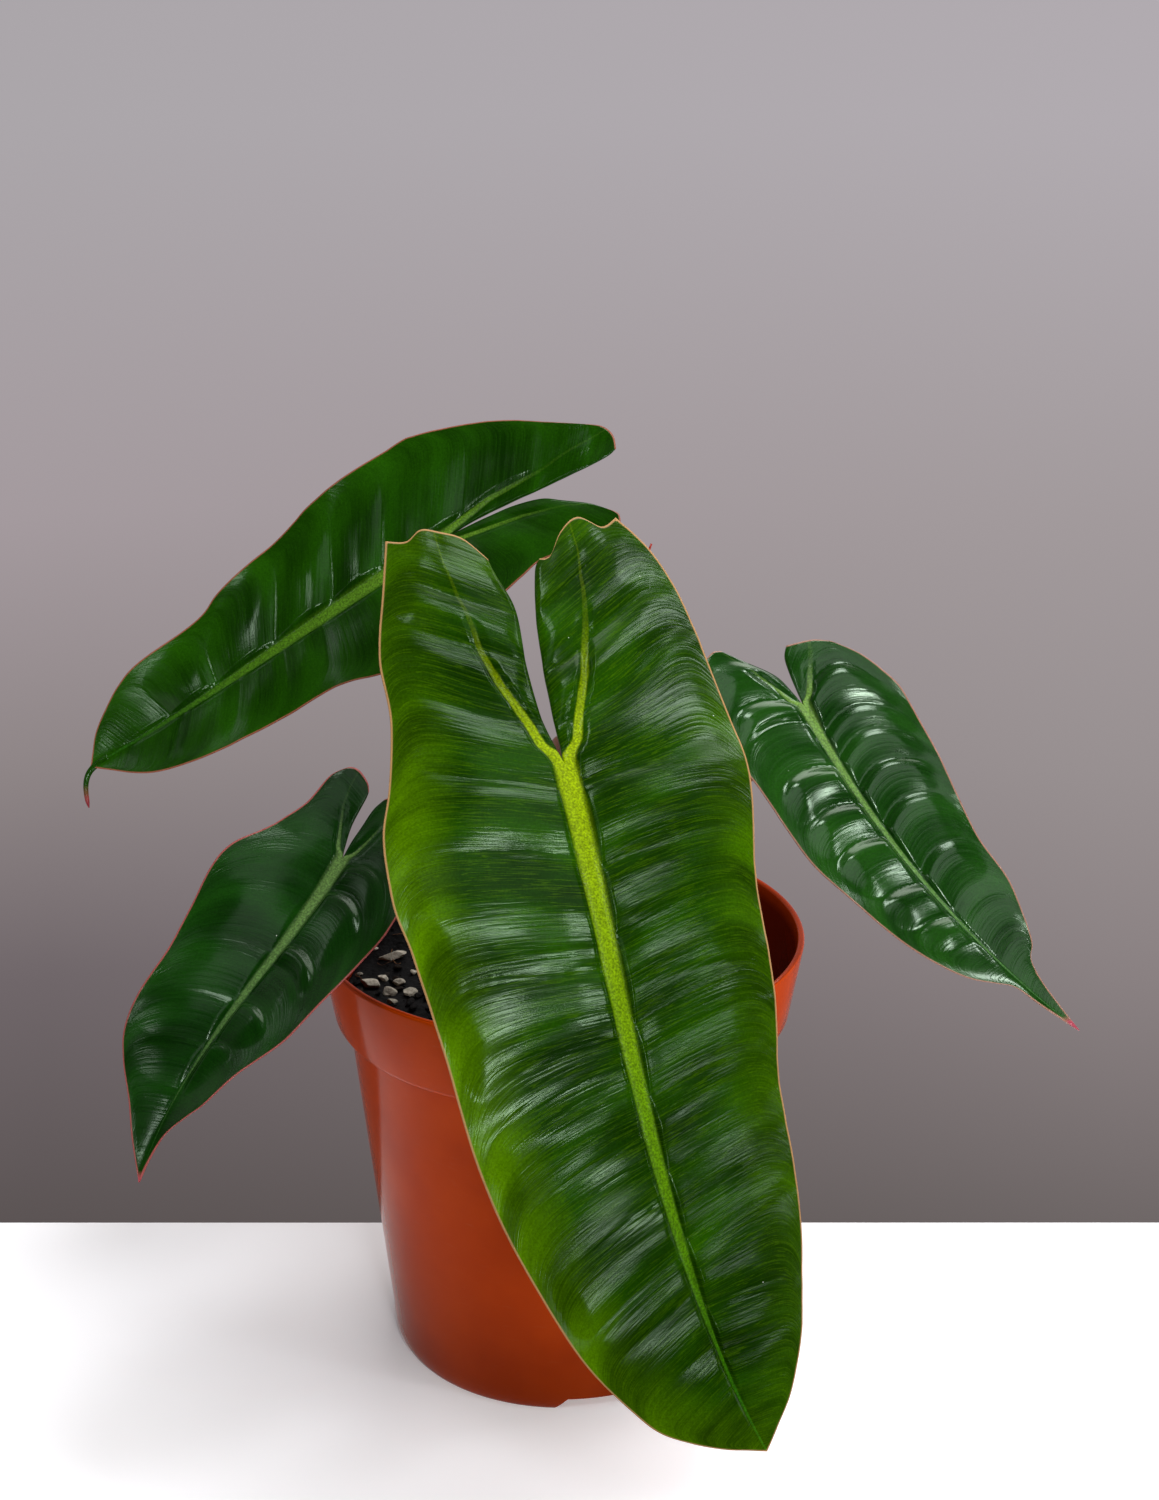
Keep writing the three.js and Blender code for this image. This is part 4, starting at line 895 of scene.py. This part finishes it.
def stem_bark():
    """Corky skin of the short stem: tan brown, ringed, matt."""
    made, node = new_material("stem_corky_skin")
    wide = node("Mapping", node("TexCoord", take="Object"), named={"Scale": (300.0, 300.0, 900.0)})
    cork = node("TexNoise", wide, 1.0, 4.0)
    tone = node("ValToRGB", cork, stops=[(0.3, "3a2b1a"), (0.5, "6b5a35"), (0.7, "8b7748")])
    node("OutputMaterial", node("BsdfPrincipled", named={
        "Base Color": tone, "Roughness": 0.8, "Normal": node("Bump", 0.8, 0.0006, named={"Height": cork})}))
    return made


def moulded_polypropylene():
    """Injection-moulded polypropylene, coloured terracotta: satin, with faint flow clouds and fine scuffs, and
    painted shade towards its foot, on the inner wall over the mix and on the lip.
    """
    made, node = new_material("terracotta_polypropylene")
    place = node("TexCoord", take="Object")
    x, y, z = (node("SeparateXYZ", place, take=axis) for axis in "XYZ")
    clouds, grain = node("TexNoise", place, 45.0, 3.0), node("TexNoise", place, 1400.0)
    scuffs = node("TexNoise", node("Mapping", place, named={"Scale": (260.0, 260.0, 1500.0)}), 1.0, 3.0)
    worn = node("MapRange", scuffs, 0.62, 0.78, 0.0, 0.1)
    # Painted shade: the pot is a deeper brown towards its foot, standing in for the shade under the leaves.
    painted_foot_shade = node("MapRange", z, 0.005, 0.1, 0.38, 1.04)
    # Painted shade: the inner wall over the mix is darkened to the deep shade it stands in, and the top of the lip
    # gets half of it.
    reach = node("VectorMath", node("CombineXYZ", x, y), operation="LENGTH")
    wall = (POT.band_foot - 0.15 * POT.wall - FLARE * BAND_FOOT_Z) * MM
    painted_inner_shade = node("Math", reach, node("Math", z, FLARE, wall, operation="MULTIPLY_ADD"), operation="LESS_THAN")
    for span in ((0.0913, 0.0925), (0.107, 0.1105, 1.0, 0.5)):
        painted_inner_shade = node("Math", painted_inner_shade, node("MapRange", z, *span), operation="MULTIPLY")
    tone = node("ValToRGB", clouds, stops=[(0.35, "c03e03"), (0.52, "c94304"), (0.68, "d04806")])
    for mask, colour, blend in ((worn, "c07a5a", "MIX"), (1.0, painted_foot_shade, "MULTIPLY"), (painted_inner_shade, "5e1604", "MIX")):
        tone = node("Mix", mask, tone, colour, data_type="RGBA", blend_type=blend)
    height = node("Math", grain, 0.6, clouds, operation="MULTIPLY_ADD")
    node("OutputMaterial", node("BsdfPrincipled", named={
        "Base Color": tone, "Roughness": node("MapRange", scuffs, 0.3, 0.75, 0.12, 0.2), "IOR": 1.49,
        "Normal": node("Bump", 0.12, 0.0001, named={"Height": height}), "Specular IOR Level": 0.1,
        "Specular Tint": "ffb295"}))
    return made


def crumb_material(name, colours, roughness, grain_mm, depth):
    """Rough organic or mineral crumb: its tone changes from lump to lump and over 1 mm of its face."""
    made, node = new_material(name)
    tone = node("Attribute", take="Fac", attribute_name="tone")
    grain = node("TexNoise", node("TexCoord", take="Object"), 1000.0 / grain_mm, 4.0)
    mixed = node("Math", tone, 0.5, grain, operation="MULTIPLY_ADD")
    colour = node("ValToRGB", mixed, stops=list(zip((0.4, 0.72, 1.0), colours)))
    node("OutputMaterial", node("BsdfPrincipled", named={
        "Base Color": colour, "Roughness": roughness, "Specular IOR Level": 0.1,
        "Normal": node("Bump", 0.9, depth, named={"Height": grain})}))
    return made


# ---------------------------------------------------------------- the plant

# What each leaf's palette holds: greens of the blade, lime greens of the midrib from the sinus to the tip, the
# thin margin, the underside, the rim and the very tip, then the strengths of the gloss, how far the rib's lime
# green fades out, the strengths of the grain and the hair-thin veins, and the share where the tip colours.
PALETTE = ("dark", "mid", "light", "rib", "rib_mid", "rib_end", "thin", "under", "under_rib", "rim", "end",
           "specular", "coat", "soft", "grain", "hair", "tip")
PALETTES = dict(
    front=("0c2600", "133300", "1f4800", "8ca200", "5c8400", "246000", "628e00", "3f6522", "748432", "b88a58",
           "b88a58", 0.1, 0.06, 1.2, 0.3, 0.2, 2),
    right=("0a2c04", "103806", "1c4a0c", "72963e", "5c8438", "285820", "1e4c0c", "2c5a1c", "647228", "a87460",
           "b03a50", 0.34, 0.5, 1.6, 0.2, 0.4, 0.95),
    left=("062002", "092a04", "123a08", "5c7a3c", "4c6a34", "183c10", "164008", "3c5220", "5c5c24", "a4504c",
          "b04a50", 0.14, 0.22, 1.9, 0.2, 0.3, 0.97),
    back=("0a2800", "123600", "1c4a02", "5c8420", "4a7414", "1e4c0a", "245604", "305524", "647228", "9a5640",
          "8a3038", 0.15, 0.15, 1.5, 0.2, 0.3, 0.975),
)


def keep(piece, slot, *nodes):
    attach(piece, "root")
    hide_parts(*nodes)


stalk_material = stalk_skin("stalk_skin", ["7a2f12", "96451c", "a8602c"], "c9a06a")
for leaf_name in LEAVES:
    cuticle = leaf_cuticle("leaf_cuticle_" + leaf_name, Sizes(**dict(zip(PALETTE, PALETTES[leaf_name]))))
    keep(build_blade(leaf_name, cuticle), "leaf", "blade_" + leaf_name)
    if leaf_name == "back":
        keep(build_drip(cuticle), "leaf", "blade_back")
    keep(build_stalk(leaf_name, stalk_material), "petiole", "petiole_" + leaf_name)
keep(build_stem(stem_bark()), "stem_skin", "stem")
keep(build_new_leaf(stalk_skin("new_leaf_skin", ["8c1a14", "a82a1e", "b8402a"], "c96a50")), "new_leaf", "new_leaf")
keep(build_sheath(stalk_skin("sheath_skin", ["7a3a22", "94552e", "a87848"], "c0a070", 0.5)), "sheath", "sheath")
keep(build_pot(moulded_polypropylene()), "terracotta_plastic", "pot")
bark = crumb_material("composted_bark", ["030202", "080605", "1c140d"], 0.8, 1.2, 0.0006)
perlite = crumb_material("expanded_perlite", ["5e584c", "8f8778", "b0a898"], 0.9, 0.7, 0.0003)
coco = crumb_material("coco_fibre", ["2a1a10", "4a3020", "6a4a30"], 0.7, 1.0, 0.0001)
for build, crumb in ((build_mix, bark), (build_bark, bark), (build_perlite, perlite), (build_fibres, coco)):
    keep(build(crumb), "potting_mix", "potting_mix")

# ---------------------------------------------------------------- stage, light and camera

TABLE = Sizes(half_length=1500, front=-150, back=46, depth=30)
# The grey backdrop's tones from low to high at its left and right, by 0.5 + half of the sine of the height.
BACKDROP_HEIGHTS = (0.24, 0.29, 0.325, 0.37, 0.44)
BACKDROP_TONES = (("564f4e", "70676a", "8e8586", "a49a9e", "aba6aa"),
                  ("67605f", "8a8182", "989091", "a29a9c", "b1abb0"))
DIM_ROOM = "2a292a"
# Area lights: place, target, size, power in watts and colour.
PANELS = dict(
    overhead_panel=((100, -120, 950), (0, -60, 100), (200, 200), 1.8, "f4f8ff"),
    high_back_softbox=((220, 560, 900), (0, -40, 60), (900, 700), 6.0, "ffffff"))
FRONT_FILL = dict(front_fill=((-950, -900, 450), (0, 0, 100), (700, 700), 1.6, "ffffff"))
# Small softboxes a metre from the plant's middle: degrees to the right of the camera and up, size, power.
PLANT_MIDDLE = Vector((0, -90, 130))
LAMPS = dict(
    upper_left_lamp=(10, 37, (160, 120), 3.0), upper_right_lamp=(65, 36, (160, 120), 1.4),
    middle_left_lamp=(16, 10, (160, 100), 2.4), middle_right_lamp=(60, 8, (160, 100), 0.8),
    lower_left_lamp=(26, -16, (160, 100), 1.2), lower_right_lamp=(62, -14, (160, 100), 0.4),
    left_lamp=(-32, 44, (160, 120), 1.0), far_right_lamp=(106, 50, (160, 120), 1.2),
    far_left_lamp=(-110, 46, (160, 120), 0.12), high_soft_panel=(24, 60, (500, 400), 0.8))
CAMERA = Sizes(place=(4.4, -588, 378), down=20.5, lens=62.4, sensor=36, near=0.01)


def painted_board():
    """Matt white lacquered board, which glows with a painted light that leaves a painted shadow beside the pot."""
    made, node = new_material("white_board")
    place = node("TexCoord", take="Object")
    tone = node("ValToRGB", node("TexNoise", place, 9.0, 3.0), stops=[(0.3, "ecebea"), (0.7, "f3f2f1")])
    # Painted light: the board glows white, except in a painted shadow centred 75 mm left of and 30 mm behind the
    # pot's middle.
    reach = node("VectorMath", node("Mapping", place, (0.075, -0.03, 0.0)), operation="LENGTH")
    painted_glow = node("MapRange", reach, 0.02, 0.13, 0.0, 0.4, interpolation_type="SMOOTHSTEP")
    node("OutputMaterial", node("BsdfPrincipled", named={
        "Base Color": tone, "Roughness": 0.55, "Emission Color": tone, "Emission Strength": painted_glow}))
    return made


def build_table():
    x, front, back = TABLE.half_length, TABLE.front, TABLE.back
    ends = [[(-x, front, z), (x, front, z), (x, back, z), (-x, back, z)] for z in (-TABLE.depth, 0)]
    return tube("table", ends, painted_board(), smooth=False)


build_table()
softboxes = {name: (PLANT_MIDDLE + 1000 * Vector(direction(azimuth, elevation)), PLANT_MIDDLE, size, power, "f4f8ff")
             for name, (azimuth, elevation, size, power) in LAMPS.items()}
for name, (place, target, size, power, colour) in {**PANELS, **softboxes, **FRONT_FILL}.items():
    data = bpy.data.lights.new(name, "AREA")
    data.shape, data.size, data.size_y = "ELLIPSE", size[0] * MM, size[1] * MM
    data.energy, data.color = power, linear(colour)[:3]
    lamp = placed(name, data)
    lamp.location = Vector(place) * MM
    lamp.rotation_euler = (Vector(target) - Vector(place)).to_track_quat("-Z", "Y").to_euler()

bpy.context.scene.world = bpy.data.worlds.new("studio_grey")
sky = cleared(bpy.context.scene.world)
heading = sky("TexCoord", take="Generated")
x, y, z = (sky("SeparateXYZ", heading, take=axis) for axis in "XYZ")
left, right = (sky("ValToRGB", sky("MapRange", z, -1.0), stops=list(zip(BACKDROP_HEIGHTS, tones)))
               for tones in BACKDROP_TONES)
backdrop = sky("Mix", sky("MapRange", x, -0.2, 0.2), left, right, data_type="RGBA")
# Reflections see a dim room in front of the plant, which fades into the backdrop above the table.
to_room = sky("MapRange", y, 0.6, -0.3, interpolation_type="SMOOTHSTEP")
seen_room = sky("Math", to_room, sky("MapRange", z, 0.0, 0.1), operation="MULTIPLY")
dim = sky("Math", seen_room, sky("MapRange", y, 0.1, -0.2), operation="MAXIMUM")
room = sky("Mix", dim, backdrop, DIM_ROOM, data_type="RGBA")
# The pale backdrop goes all round, and the dim room is only in what lights the plant.
shown = sky("Mix", sky("LightPath", take="Is Camera Ray"), room, backdrop, data_type="RGBA")
sky("OutputWorld", sky("Background", shown))

camera_data = bpy.data.cameras.new("camera")
camera_data.lens, camera_data.sensor_width, camera_data.clip_start = CAMERA.lens, CAMERA.sensor, CAMERA.near
camera = placed("camera", camera_data)
camera.location = Vector(CAMERA.place) * MM
camera.rotation_euler = (math.radians(90 - CAMERA.down), 0, 0)
bpy.context.scene.camera = camera
bpy.context.scene.view_settings.view_transform = "Standard"
